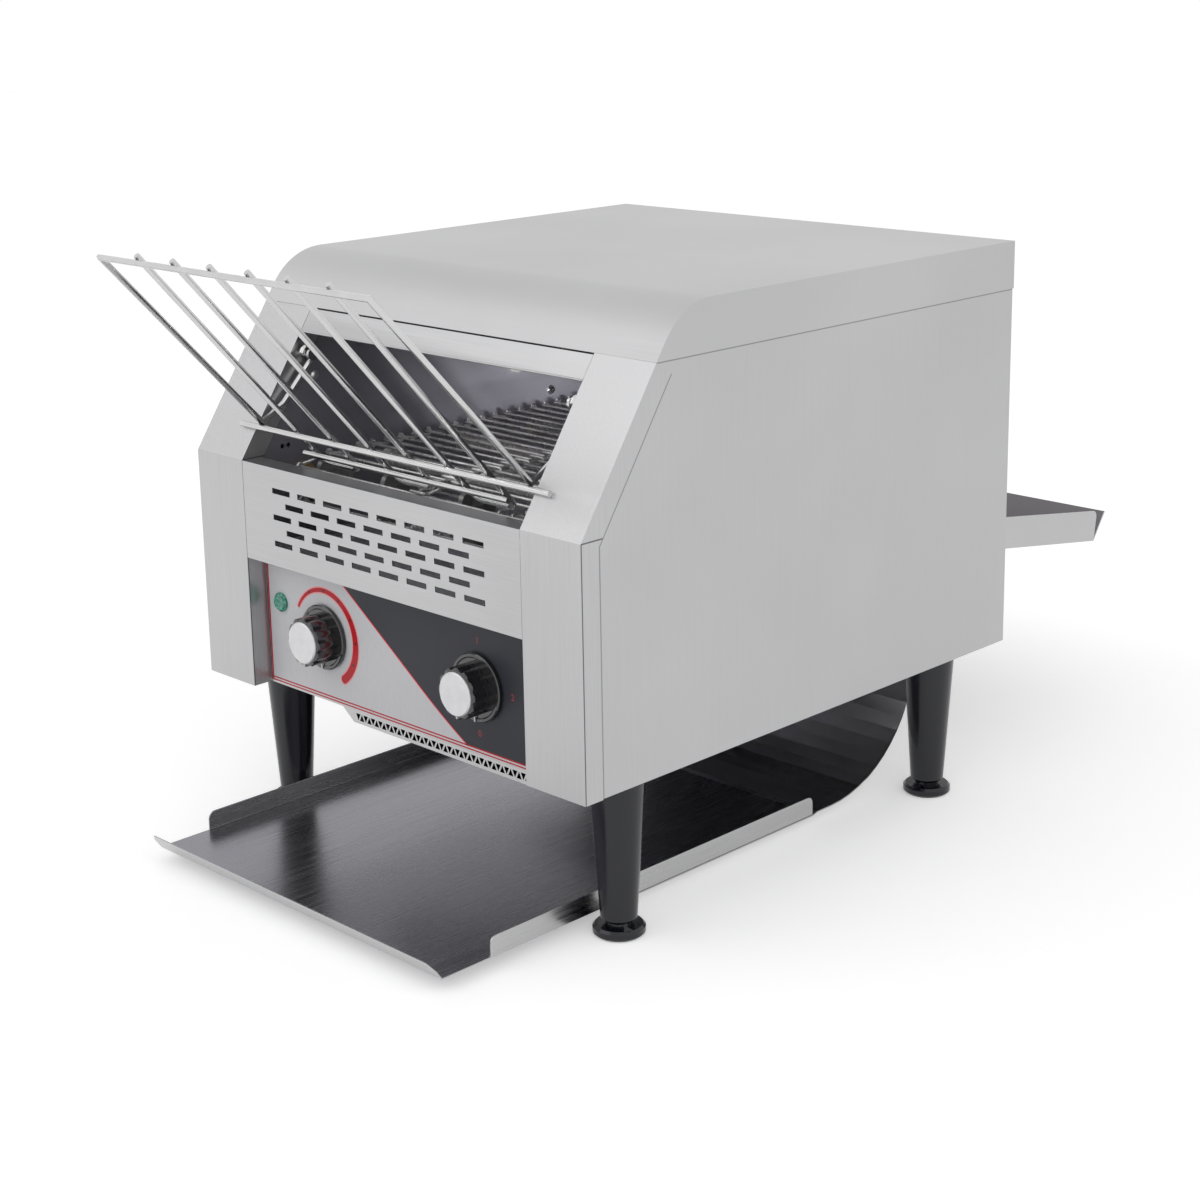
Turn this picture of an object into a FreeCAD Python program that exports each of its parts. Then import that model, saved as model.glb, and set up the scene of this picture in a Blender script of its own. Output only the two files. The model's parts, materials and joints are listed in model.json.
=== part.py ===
import FreeCAD, Part
import math
import os

# Counter-top conveyor toaster. Lengths are millimetres and angles are degrees.
# While the pieces are made, x = 0 is the middle plane, y = 0 is the face of the front posts
# and z = 0 is the underside of the body. The last section moves all of it to the stored origin.

# Overall sizes
body_width = 368.0
body_depth = 418.0
body_height = 284.0
leg_height = 103.0
sheet = 1.0
seam = 0.2
overrun = 5.0

# Front posts and the slanted mouth
post_width = 50.0
half_width = body_width / 2
mouth_half = half_width - post_width
back_y = body_depth - sheet
post_strip_depth = 14.5
post_flange_depth = 15.0
slant_start_share = 0.5528
slant_start_z = slant_start_share * body_height
slant_angle = 56.07
hood_front_drop = 32.6
slant_rise = body_height - hood_front_drop - slant_start_z
slant_length = slant_rise / math.sin(math.radians(slant_angle))

# Hood
hood_corner_radius = 50.0
hood_lip_depth = 8.0
hood_rear_drop = 20.0

# Panels
panel_recess = 15.0
side_flange = 15.0
side_panel_top_gap = 16.0
inner_wall_setback = 4.0
inner_wall_end_gap = 13.0
inner_wall_top_gap = 22.0
inner_wall_flange = 8.0
wall_screw_drop = 8.5
wall_screw_depth = 26.1
wall_screw_share = 0.6794
wall_screw_rise = 3.6
wall_screw_z = slant_start_z + wall_screw_rise
wall_hole_count = 2
wall_hole_y = 34.5
wall_hole_pitch = 5.0
wall_hole_rise = 3.5
wall_hole_z = slant_start_z + wall_hole_rise
crossbar_height = 17.6
crossbar_flange = 15.5
crossbar_gap = 1.0
control_top_share = 0.3169
control_top_z = control_top_share * body_height
vent_bottom_gap = 0.5
vent_bottom_z = control_top_z + vent_bottom_gap
vent_flange_depth = 15.0
vent_tab_depth = 11.0
label_thickness = 0.6
label_side_gap = 1.5
label_bottom_gap = 1.8

# Slots of the vent panel: rows of alternating length, like brickwork
slot_length = 18.6
slot_height = 3.6
slot_pitch = 26.6
slot_row_pitch = 8.9
slot_top_row_drop = 15.3
slot_row_count = 5
slot_end_count = 2

# Wire conveyor belt and its sprockets
belt_pitch = 12.7
belt_side_gap = 9.0
belt_half_width = mouth_half - belt_side_gap
belt_wire_radius = 1.0
belt_wire_sides = 4
belt_axis_drop = 20.6
belt_axis_z = slant_start_z - belt_axis_drop
belt_front_y = 50.0
belt_rear_room = 75.0
belt_span_pitches = int((body_depth - belt_front_y - belt_rear_room) / belt_pitch)
# A wire on a sprocket points along the chord to the next wire.
belt_chord_share = 0.5
belt_hook_reach = 2.3
belt_hook_lift = 2.5
belt_hook_inset = 3.5
belt_knuckle_base = 3.5
sprocket_teeth = 8
sprocket_thickness = 4.0
sprocket_hub_radius = 9.5
sprocket_hub_length = 11.0
sprocket_tip_height = 2.4
sprocket_clearance = 0.35
chain_clearance = 0.6
sprocket_places_share = (-0.83, -0.3, 0.3, 0.83)
shaft_radius = 5.0
shaft_clearance = 0.05
bush_radius = 8.0
bush_flange_radius = 11.0
bush_flange_thickness = 2.0
bush_length = 7.0
bush_sides = 16
shaft_end_reach = 8.0

# Chain drive at the right of the inner wall
chain_pitch = 9.525
chain_wall_gap = 14.0
chain_plane_x = mouth_half + chain_wall_gap
chain_roller_radius = 2.5
chain_roller_sides = 8
chain_inner_width = 4.2
chain_plate_thickness = 0.8
chain_plate_height = 7.0
wheel_teeth = 12
motor_teeth = 9
tooth_tip_share = 0.3
wheel_thickness = 3.2
motor_y = 104.0
motor_height_share = 0.56
motor_wished_z = motor_height_share * control_top_z
motor_shaft_radius = 4.0
gearbox_width = 52.0
gearbox_depth = 34.0
gearbox_corner = 6.0
motor_can_radius = 23.0
motor_can_length = 42.0
motor_cap_radius = 14.0
motor_cap_length = 6.0
along_share = 0.9

# Heating
heater_radius = 5.0
heater_reach = 12.0
upper_heater_rise = 30.0
upper_heater_z = slant_start_z + upper_heater_rise
upper_heater_count = 3
upper_heater_front_margin = 60.0
upper_heater_rear_margin = 10.0
lower_heater_count = 3
lower_heater_margin = 76.0
holder_radius = 8.0
holder_flange_radius = 11.0
holder_flange_thickness = 3.0
holder_clearance = 0.15
holder_sides = 12
reflector_rise = 42.0
reflector_z = slant_start_z + reflector_rise
reflector_low_share = 0.4545
reflector_low_y = reflector_low_share * body_depth
reflector_rear_room = 34.0
reflector_rear_y = body_depth - reflector_rear_room
reflector_drop = 20.0
reflector_end_rise = 7.0
reflector_end_z = control_top_z + reflector_end_rise
reflector_front_gap = 1.5
reflector_front_room = 6.0

# Control box, cooling fan and electrical parts
control_box_rise = 5.0
control_box_top_z = control_top_z + control_box_rise
control_box_depth = 152.0
fan_size = 80.0
fan_thickness = 25.0
fan_bore_radius = 38.0
fan_hub_radius = 16.0
fan_hub_plate = 6.0
fan_blade_radius = 36.5
fan_blade_count = 7
fan_blade_tilt = 38.0
fan_blade_width = 15.0
fan_blade_thickness = 1.4
fan_strut_width = 5.0
fan_running_gap = 0.4
fan_side_share = -0.27
fan_x = fan_side_share * mouth_half
fan_y = 74.0
guard_fan_reach = 24.0
guard_left_x = fan_x - guard_fan_reach
guard_side_gap = 4.0
guard_right_x = mouth_half - guard_side_gap
guard_drop = 9.0
guard_depth = 96.0
guard_taper = 12.0
guard_hole_pitch = 7.5
guard_hole_size = 4.6
terminal_length = 58.0
terminal_width = 22.0
terminal_height = 17.0
terminal_ways = 6
terminal_well_share = 0.55
terminal_well_sides = 12
terminal_side_inset = 18.0
terminal_x = terminal_side_inset - mouth_half
terminal_y = 84.0
lamp_side_inset = 16.0
lamp_x = lamp_side_inset - mouth_half
lamp_drop = 30.5
lamp_z = control_top_z - lamp_drop
lamp_radius = 6.5
lamp_neck_radius = 5.0
lamp_bezel = 1.4
lamp_depth = 22.0

# Knobs
knob_z = control_top_z / 2
speed_knob_inset = 62.0
speed_knob_x = speed_knob_inset - mouth_half
power_knob_inset = 56.0
power_knob_x = mouth_half - power_knob_inset
knob_skirt_radius = 22.0
knob_skirt_thickness = 3.0
knob_gap = 0.6
knob_grip_radius = 16.5
knob_grip_length = 15.0
knob_flute_count = 12
knob_flute_radius = 2.0
knob_flute_sides = 8
knob_cap_radius = 14.0
knob_cap_thickness = 1.5
spindle_radius = 3.0
spindle_clearance = 0.05
regulator_radius = 12.0
regulator_depth = 14.0
regulator_gap = 6.0
switch_size = 36.0
switch_depth = 30.0

# Loading rack of welded wire
rack_wire_radius = 2.0
rack_wire_sides = 8
rack_side_gap = 5.0
rack_half_width = mouth_half - rack_side_gap
rack_rod_count = 8
rack_tilt = 46.9
rack_rest_up_slant = 24.2
rack_rod_length = 167.0
rack_tip_length = 2.0
rack_hairpin_reach = 34.0
rack_short_wire_reach = 20.0
rack_long_wire_reach = 14.0
rack_long_wire_half = mouth_half + rack_long_wire_reach
rack_short_wire_share = 0.76
rack_short_wire_half = rack_short_wire_share * rack_half_width
rack_bend_radius = 7.0
rack_bend_steps = 3
rack_weld_gap = 0.05
rack_pin_drop = 29.76
rack_pin_up_slant = slant_length - rack_pin_drop
rack_pin_depth = 9.3
rack_pin_radius = 2.5
rack_pin_head_radius = 4.2
rack_pin_head = 2.0
rack_pin_reach = 9.0
rack_loop_gap = 0.4
rack_loop_step = 30.0
rack_loop_steps = 7
rack_elbow_share = 0.381
rack_lift_up_slant = rack_pin_up_slant - rack_rest_up_slant
rack_elbow_up_slant = rack_rest_up_slant + rack_elbow_share * rack_lift_up_slant
rack_elbow_depth = 5.4

# Legs and levelling feet
leg_side_inset = 24.0
leg_x = half_width - leg_side_inset
leg_front_y = 50.0
leg_rear_inset = 56.0
leg_rear_y = body_depth - leg_rear_inset
leg_top_radius = 17.5
leg_bottom_radius = 11.5
leg_chamfer = 2.0
leg_sides = 32
foot_radius = 16.5
foot_thickness = 6.5
foot_edge = 1.6
foot_neck_radius = 8.0
foot_neck_height = 2.5
foot_stud_radius = 5.0
foot_stud_length = 22.0
stud_clearance = 0.08
leg_bolt_radius = 4.0
leg_bolt_reach = 8.0
leg_nut_radius = 7.5
leg_nut_height = 5.0

# Toast chute and toast tray
tray_top_z = -94.0
tray_side_reach = 7.5
tray_half_width = mouth_half + tray_side_reach
tray_lip_foot_y = -77.0
tray_lip_lean = 9.0
tray_lip_height = 12.5
tray_wall_front_y = -39.0
tray_rear_room = 160.0
tray_rear_y = body_depth - tray_rear_room
tray_wall_height = 13.5
tray_corner = 5.0
tray_corner_steps = 4
chute_support_front_y = 62.0
chute_joggle_length = 5.0
chute_curve_room = 140.0
chute_curve_y = body_depth - chute_curve_room
chute_steps = 10
chute_radius = 93.0
chute_angle = 64.0
crumb_floor_drop = 36.5
crumb_floor_z = control_top_z - crumb_floor_drop
chute_top_drop = 13.5
chute_top_z = crumb_floor_z - chute_top_drop
chute_inner_half_width = mouth_half - seam
toast_gap_room = 183.0
toast_gap_front_y = body_depth - toast_gap_room
toast_gap_rear_margin = 3.0

# Rear crumb tray and its runners
crumb_side_gap = 3.0
crumb_half_width = mouth_half - crumb_side_gap
crumb_slope = 8.85
crumb_stop_height = 6.0
crumb_wall_height = 24.0
crumb_inner_length = 27.0
crumb_outer_length = 199.7
crumb_lip_lean = 11.8
crumb_lip_height = 23.2
crumb_slot_margin = 3.0
runner_width = 12.0
runner_front_room = 186.0
runner_front_y = body_depth - runner_front_room
runner_height = 14.0
runner_rear_gap = 4.0

# Fasteners and the cord gland
screw_head_radius = 3.4
screw_head_height = 2.2
screw_radius = 1.7
screw_length = 5.0
screw_clearance = 0.1
screw_sides = 12
hex_sides = 6
head_crown_share = 0.7
head_edge_share = 0.45
louvre_count = 5
louvre_pitch = 11.0
louvre_length = 150.0
gland_side_inset = 34.0
gland_x = gland_side_inset - half_width
gland_z = 28.0
gland_bore_radius = 4.2
gland_thread_radius = 8.0
gland_hex_radius = 11.0
gland_hex_height = 6.0
gland_dome_length = 10.0
# Ways steeper than this share run more up than across.
steep_share = 0.7


# Helpers

def vec(x, y, z):
    return FreeCAD.Vector(x, y, z)


x_axis = vec(1, 0, 0)
y_axis = vec(0, 1, 0)
z_axis = vec(0, 0, 1)


def box(low, high):
    size = [b - a for a, b in zip(low, high)]
    return Part.makeBox(*size, vec(*low))


def fuse(shapes):
    first, *rest = shapes
    return first.fuse(rest).removeSplitter() if rest else first


def face_of(points):
    return Part.Face(Part.makePolygon(points + points[:1]))


def plate_x(points, low_x, high_x):
    # An outline in (y, z), made solid from low_x to high_x.
    face = face_of([vec(low_x, y, z) for y, z in points])
    return face.extrude(vec(high_x - low_x, 0, 0))


def plate_z(points, low_z, high_z):
    face = face_of([vec(x, y, low_z) for x, y in points])
    return face.extrude(vec(0, 0, high_z - low_z))


def rod(start, direction, radius, length):
    return Part.makeCylinder(radius, length, start, direction)


def turned(profile, place, direction):
    # A profile of (radius, height) points, spun round an axis along direction.
    face = face_of([vec(r, 0, h) for r, h in profile])
    solid = face.revolve(vec(0, 0, 0), z_axis, 360)
    solid.Placement = FreeCAD.Placement(place, FreeCAD.Rotation(z_axis, direction))
    return solid


def faceted(profile, sides, place, direction):
    # The same spun shape for a small piece, with a few flat sides instead of a round one.
    turns = [math.radians(360 * i / sides) for i in range(sides + 1)]
    faces = []
    for (r0, h0), (r1, h1) in zip(profile, profile[1:] + profile[:1]):
        for a, b in zip(turns, turns[1:]):
            spots = [(r0, a, h0), (r0, b, h0), (r1, b, h1), (r1, a, h1)]
            if r0 == 0:
                spots = spots[1:]
            if r1 == 0:
                spots = spots[:-1]
            if len(spots) > 2:
                faces.append(face_of([vec(r * math.cos(t), r * math.sin(t), h) for r, t, h in spots]))
    solid = Part.makeSolid(Part.makeShell(faces)).removeSplitter()
    if solid.Volume < 0:
        solid.reverse()
    solid.Placement = FreeCAD.Placement(place, FreeCAD.Rotation(z_axis, direction))
    return solid


def facet_rod(start, direction, radius, length, sides):
    return faceted([(0.0, 0.0), (radius, 0.0), (radius, length), (0.0, length)], sides, start, direction)


def facet_hole(start, direction, radius, length, sides):
    # A hole whose flat sides stay outside the radius.
    return facet_rod(start, direction, radius / math.cos(math.pi / sides), length, sides)


def polygon(count, radius, phase=0.0):
    angles = [math.radians(phase + 360 * i / count) for i in range(count)]
    return [(radius * math.cos(a), radius * math.sin(a)) for a in angles]


def mirrored(shape):
    return shape.mirror(vec(0, 0, 0), x_axis)


def on_slant(up, inward):
    # A point of the (y, z) plane: so far up the slanted front, and so far in behind it.
    a = math.radians(slant_angle)
    y = up * math.cos(a) + inward * math.sin(a)
    z = slant_start_z + up * math.sin(a) - inward * math.cos(a)
    return y, z


def front_line(depth, up=slant_length, low_z=0.0):
    # The front outline of the body, moved in by depth.
    a = math.radians(slant_angle)
    bend_up = depth * (1 - math.sin(a)) / math.cos(a)
    return [(depth, low_z), on_slant(bend_up, depth), on_slant(up, depth)]


def front_band(outer, inner, low_x, high_x, up=slant_length, low_z=0.0):
    line = front_line(outer, up, low_z) + front_line(inner, up, low_z)[::-1]
    return plate_x(line, low_x, high_x)


def bent_sheet(points, thickness, low_x, high_x):
    # A sheet that follows (y, z) points, with its thickness on the left of the way it runs.
    offset = []
    for i, (y, z) in enumerate(points):
        normals = []
        for a, b in ((i - 1, i), (i, i + 1)):
            if a >= 0 and b < len(points):
                dy = points[b][0] - points[a][0]
                dz = points[b][1] - points[a][1]
                run = math.hypot(dy, dz)
                normals.append((-dz / run, dy / run))
        ny = sum(n[0] for n in normals)
        nz = sum(n[1] for n in normals)
        square = ny * ny + nz * nz
        mitre = thickness * len(normals) / square
        offset.append((y + ny * mitre, z + nz * mitre))
    return plate_x(points + offset[::-1], low_x, high_x)


def arc_points(centre, radius, start, end, steps):
    out = []
    for i in range(steps + 1):
        a = math.radians(start + (end - start) * i / steps)
        out.append((centre[0] + radius * math.cos(a), centre[1] + radius * math.sin(a)))
    return out


def bent_line(points, bend, steps):
    # A line through points, with each corner bent to an arc of a few short runs.
    line = [points[0]]
    for before, corner, after in zip(points, points[1:], points[2:]):
        into = (corner - before).normalize()
        out = (after - corner).normalize()
        turn = into.getAngle(out)
        inside = (out - into).normalize()
        centre = corner + inside * (bend / math.cos(turn / 2))
        for i in range(steps + 1):
            a = turn * (i / steps - 1 / 2)
            way = (into + out).normalize()
            line.append(centre - inside * bend * math.cos(a) + way * bend * math.sin(a))
    return line + [points[-1]]


def facet_wire(points, radius, sides):
    # A thin wire of few flat sides, mitred at each corner.
    ways = [(b - a).normalize() for a, b in zip(points, points[1:])]
    side_axis = z_axis if abs(ways[0].z) < steep_share else x_axis
    across = ways[0].cross(side_axis).normalize()
    other = ways[0].cross(across)
    ring = [points[0] + across * dx + other * dy for dx, dy in polygon(sides, radius, 180 / sides)]
    rings = [ring]
    for i, way in enumerate(ways):
        mitre = way + (ways[i + 1] if i + 1 < len(ways) else way)
        end = points[i + 1]
        ring = [c + way * ((end - c).dot(mitre) / way.dot(mitre)) for c in ring]
        rings.append(ring)
    faces = [face_of(rings[0][::-1]), face_of(rings[-1])]
    for low, high in zip(rings, rings[1:]):
        for j in range(sides):
            k = (j + 1) % sides
            faces.append(face_of([low[j], low[k], high[k], high[j]]))
    solid = Part.makeSolid(Part.makeShell(faces))
    if solid.Volume < 0:
        solid.reverse()
    return solid


def screw(place, direction):
    # A pan-head screw whose head sits on place, with its shank running along direction.
    return faceted(
        [
            (0.0, -screw_head_height),
            (screw_head_radius * head_crown_share, -screw_head_height),
            (screw_head_radius, -screw_head_height * head_edge_share),
            (screw_head_radius, 0.0),
            (screw_radius, 0.0),
            (screw_radius, screw_length),
            (0.0, screw_length),
        ],
        screw_sides,
        place,
        direction,
    )


def screw_hole(place, direction, length):
    start = place - direction * length
    return facet_rod(start, direction, screw_radius + screw_clearance, 2 * length, screw_sides)


# Casing

def front_post():
    face = front_band(0.0, sheet, mouth_half, half_width)
    strip = front_band(0.0, post_strip_depth, half_width - sheet, half_width)
    flange = front_band(0.0, post_flange_depth, mouth_half, mouth_half + sheet)
    post = fuse([face, strip, flange])
    y, z = on_slant(rack_pin_up_slant, rack_pin_depth)
    start = vec(mouth_half - overrun, y, z)
    return post.cut(rod(start, x_axis, rack_pin_radius + shaft_clearance, 2 * overrun))


def side_panel():
    low_x = half_width - 2 * sheet
    high_x = half_width - sheet
    top = body_height - side_panel_top_gap
    corner_y = 2 * hood_corner_radius
    line = front_line(sheet + seam, slant_length + overrun)
    line += [(corner_y, top), (back_y, top), (back_y, 0.0)]
    panel = plate_x(line, low_x, high_x)
    foot = box(
        (low_x - side_flange, panel_recess + 3 * sheet, sheet),
        (low_x, back_y - sheet, 2 * sheet),
    )
    tail = box((low_x - side_flange, back_y - sheet, sheet), (low_x, back_y, top))
    panel = fuse([panel, foot, tail])
    for x, y in leg_places():
        if x > 0:
            panel = panel.cut(leg_bolt_hole(x, y))
    for place in back_screw_places():
        panel = panel.cut(screw_hole(place, y_axis, overrun))
    return panel


def hood_line(depth, low_up):
    # The hood's outline from its front edge to its rear edge, moved in by depth.
    a = math.radians(slant_angle)
    radius = hood_corner_radius - depth
    centre_z = body_height - hood_corner_radius
    tangent_z = centre_z + hood_corner_radius * math.cos(a)
    tangent_up = (tangent_z - slant_start_z) / math.sin(a)
    centre_y, _ = on_slant(tangent_up, hood_corner_radius)
    start = on_slant(low_up, depth)
    bend = on_slant(tangent_up, depth)
    middle = math.radians(90 + slant_angle / 2)
    crown = (centre_y + radius * math.cos(middle), centre_z + radius * math.sin(middle))
    level = (centre_y, body_height - depth)
    return start, bend, crown, level


def hood_low_z():
    # The side flanges hang to the level of the hood's front edge.
    return on_slant(slant_length, 0.0)[1]


def hood_block(depth, low_up, low_z, high_y, half_x):
    start, bend, crown, level = hood_line(depth, low_up)
    points = [vec(-half_x, y, z) for y, z in (start, bend, crown, level)]
    rear_top = vec(-half_x, high_y, body_height - depth)
    rear_low = vec(-half_x, high_y, low_z)
    front_low = vec(-half_x, start[0], low_z)
    edges = [
        Part.makeLine(points[0], points[1]),
        Part.Arc(points[1], points[2], points[3]).toShape(),
        Part.makeLine(points[3], rear_top),
        Part.makeLine(rear_top, rear_low),
    ]
    if (front_low - points[0]).Length > seam:
        edges.append(Part.makeLine(rear_low, front_low))
        edges.append(Part.makeLine(front_low, points[0]))
    else:
        edges.append(Part.makeLine(rear_low, points[0]))
    return Part.Face(Part.Wire(edges)).extrude(vec(2 * half_x, 0, 0))


def hood():
    low_z = hood_low_z()
    outer = hood_block(0.0, slant_length, low_z, body_depth, half_width)
    inner_low = low_z - overrun
    inner = hood_block(
        sheet, slant_length - 2 * overrun, inner_low, back_y, half_width - sheet
    )
    shell = outer.cut(inner)
    rear_low = body_height - hood_rear_drop
    shell = shell.cut(box(
        (sheet - half_width, back_y - overrun, inner_low),
        (half_width - sheet, body_depth + overrun, rear_low),
    ))
    lip = plate_x(
        [
            on_slant(slant_length, 0.0),
            on_slant(slant_length, hood_lip_depth),
            on_slant(slant_length + sheet, hood_lip_depth),
            on_slant(slant_length + sheet, 0.0),
        ],
        2 * sheet + seam - half_width,
        half_width - 2 * sheet - seam,
    )
    return fuse([shell, lip])


def back_screw_places():
    x = half_width - 2 * sheet - side_flange / 2
    top = hood_low_z() - side_flange
    rows = (side_flange, body_height / 2, top)
    return [vec(side * x, body_depth, z) for side in (-1, 1) for z in rows]


def back_panel():
    high_x = half_width - sheet - seam / 2
    top = body_height - hood_rear_drop - seam
    panel = box((-high_x, back_y, 0.0), (high_x, body_depth, top))
    slot_x = crumb_half_width + crumb_slot_margin
    panel = panel.cut(box(
        (-slot_x, back_y - overrun, crumb_floor_z - crumb_slot_margin),
        (slot_x, body_depth + overrun, crumb_floor_z + crumb_wall_height + crumb_slot_margin),
    ))
    start = vec(gland_x, back_y - overrun, gland_z)
    hole = gland_thread_radius + seam / 2
    panel = panel.cut(facet_rod(start, y_axis, hole, 3 * overrun, screw_sides))
    for place in back_screw_places():
        panel = panel.cut(screw_hole(place, y_axis, overrun))
    for i in range(louvre_count):
        z = hood_low_z() - i * louvre_pitch
        panel = panel.cut(box(
            (-louvre_length / 2, back_y - overrun, z - slot_height),
            (louvre_length / 2, body_depth + overrun, z),
        ))
    return panel


def leg_places():
    return [(sx * leg_x, y) for sx in (-1, 1) for y in (leg_front_y, leg_rear_y)]


def leg_bolt_hole(x, y):
    radius = leg_bolt_radius + screw_clearance
    return facet_hole(vec(x, y, -overrun), z_axis, radius, 3 * overrun, screw_sides)


def chute_point_at(z):
    # The y of the straight upper part of the chute at height z.
    a = math.radians(chute_angle)
    y = chute_curve_y + chute_radius * math.sin(a)
    low_z = tray_top_z + chute_radius * (1 - math.cos(a))
    return y + (z - low_z) / math.tan(a)


def bottom_plate():
    high_x = half_width - 2 * sheet - seam / 2
    front_y = panel_recess + sheet + seam
    plate = box((-high_x, front_y, 0.0), (high_x, back_y - seam, sheet))
    rim = box((-mouth_half + seam, front_y, 0.0), (mouth_half - seam, front_y + sheet, side_flange))
    plate = fuse([plate, rim])
    plate = plate.cut(box(
        (-mouth_half, toast_gap_front_y, -overrun),
        (mouth_half, chute_point_at(2 * sheet) + toast_gap_rear_margin, overrun),
    ))
    plate = plate.cut(rod(vec(fan_x, fan_y, -overrun), z_axis, fan_bore_radius, 2 * overrun))
    for x, y in leg_places():
        plate = plate.cut(leg_bolt_hole(x, y))
    return plate


def crossbar():
    low = slant_length - crossbar_gap - crossbar_height
    high = slant_length - crossbar_gap
    high_x = mouth_half - seam

    def strip(up0, up1, in0, in1):
        corners = [on_slant(up0, in0), on_slant(up1, in0), on_slant(up1, in1), on_slant(up0, in1)]
        return plate_x(corners, -high_x, high_x)

    y, z = on_slant(low, 0.0)
    ledge = box((-high_x, y, z), (high_x, y + crossbar_flange, z + sheet))
    return fuse([
        strip(low, high, 0.0, sheet),
        ledge,
        strip(high - sheet, high, 0.0, hood_lip_depth),
    ])


def vent_panel():
    high_x = mouth_half - seam
    top = slant_start_z
    face = box((-high_x, 0.0, vent_bottom_z), (high_x, sheet, top))
    ledge = box((-high_x, 0.0, top - sheet), (high_x, vent_flange_depth, top))
    rim = box(
        (-high_x, vent_flange_depth - sheet, top - side_flange / 2),
        (high_x, vent_flange_depth, top),
    )
    foot = box((-high_x, 0.0, vent_bottom_z), (high_x, panel_recess + sheet, vent_bottom_z + sheet))
    tabs = [
        box((x, 0.0, vent_bottom_z), (x + sheet, vent_tab_depth, top))
        for x in (-high_x, high_x - sheet)
    ]
    panel = fuse([face, ledge, rim, foot] + tabs)
    slots = []
    most = int(2 * mouth_half / slot_pitch) - slot_end_count
    for row in range(slot_row_count):
        z = top - slot_top_row_drop - row * slot_row_pitch
        count = most - row % 2
        for i in range(count):
            x = (i - (count - 1) / 2) * slot_pitch
            slots.append(box(
                (x - slot_length / 2, -overrun, z - slot_height / 2),
                (x + slot_length / 2, overrun, z + slot_height / 2),
            ))
    return panel.cut(Part.makeCompound(slots))


def panel_holes(radius_extra):
    back = panel_recess + overrun
    holes = []
    places = (
        (lamp_x, lamp_z, lamp_neck_radius),
        (speed_knob_x, knob_z, spindle_radius + spindle_clearance + seam),
        (power_knob_x, knob_z, spindle_radius + spindle_clearance + seam),
    )
    for x, z, radius in places:
        start = vec(x, back, z)
        holes.append(facet_hole(start, -y_axis, radius + radius_extra, 2 * overrun, screw_sides))
    return Part.makeCompound(holes)


def control_panel():
    high_x = mouth_half - seam
    face = box((-high_x, panel_recess, 0.0), (high_x, panel_recess + sheet, control_top_z))
    top = box(
        (-high_x, panel_recess, control_top_z - sheet),
        (high_x, panel_recess + side_flange, control_top_z),
    )
    return fuse([face, top]).cut(panel_holes(seam))


def panel_label():
    high_x = mouth_half - label_side_gap
    plate = box(
        (-high_x, panel_recess - label_thickness, label_bottom_gap),
        (high_x, panel_recess, control_top_z - seam),
    )
    return plate.cut(panel_holes(seam))


def wall_screw_places():
    # One screw behind the rack's pin and one low down, just above the belt.
    up = rack_pin_up_slant - wall_screw_drop
    return [on_slant(up, wall_screw_depth), (wall_screw_share * body_depth, wall_screw_z)]


def wall_openings():
    # The holes of an inner wall for shafts, heaters and the rack pin.
    reach = 4 * overrun
    x = mouth_half - reach / 2
    holes = []
    for y in (belt_front_y, belt_rear_y()):
        holes.append(facet_rod(vec(x, y, belt_axis_z), x_axis, bush_radius, reach, bush_sides))
    for y, z in heater_places():
        hole = holder_radius + holder_clearance
        holes.append(facet_rod(vec(x, y, z), x_axis, hole, reach, holder_sides))
    y, z = on_slant(rack_pin_up_slant, rack_pin_depth)
    hole = rack_pin_radius + shaft_clearance
    holes.append(facet_rod(vec(x, y, z), x_axis, hole, reach, screw_sides))
    for y, z in wall_screw_places():
        hole = screw_radius + screw_clearance
        holes.append(facet_rod(vec(x, y, z), x_axis, hole, reach, screw_sides))
    for i in range(wall_hole_count):
        place = vec(x, wall_hole_y + i * wall_hole_pitch, wall_hole_z)
        holes.append(facet_rod(place, x_axis, screw_radius, reach, screw_sides))
    return Part.makeCompound(holes)


def inner_wall():
    low_x = mouth_half + sheet
    high_x = low_x + sheet
    top = body_height - inner_wall_top_gap
    rear = body_depth - inner_wall_end_gap
    up = slant_length - 2 * overrun
    line = front_line(inner_wall_setback, up, sheet)
    line.append(on_slant(up, hood_lip_depth + overrun))
    line += [(2 * hood_corner_radius, top), (rear, top), (rear, sheet)]
    wall = plate_x(line, low_x, high_x)
    foot = box(
        (high_x - sheet, panel_recess + 3 * sheet, sheet),
        (high_x + inner_wall_flange, rear, 2 * sheet),
    )
    return fuse([wall, foot]).cut(wall_openings())


def right_inner_wall():
    wall = inner_wall()
    start = vec(mouth_half - overrun, motor_y, motor_z())
    return wall.cut(rod(start, x_axis, 2 * motor_shaft_radius, 3 * overrun))


def top_reflector():
    low = slant_length - crossbar_gap - crossbar_height
    ledge_y, ledge_z = on_slant(low, 0.0)
    top = ledge_z + 2 * sheet + seam
    corner_y = reflector_rear_y + reflector_drop
    line = [
        (ledge_y + reflector_front_room, top),
        (ledge_y + crossbar_flange + reflector_front_gap, top),
        (reflector_low_y, reflector_z),
        (reflector_rear_y, reflector_z),
        (corner_y, reflector_z - reflector_drop),
        (corner_y, reflector_end_z),
    ]
    high_x = mouth_half + sheet - seam
    plate = bent_sheet(line, sheet, -high_x, high_x)
    # The front corners are cut away beside the posts' inner flanges.
    notch_y = ledge_y + crossbar_flange + overrun + sheet
    notch = box((mouth_half - seam, 0.0, reflector_z), (half_width, notch_y, body_height))
    return plate.cut(Part.makeCompound([notch, mirrored(notch)]))


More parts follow.
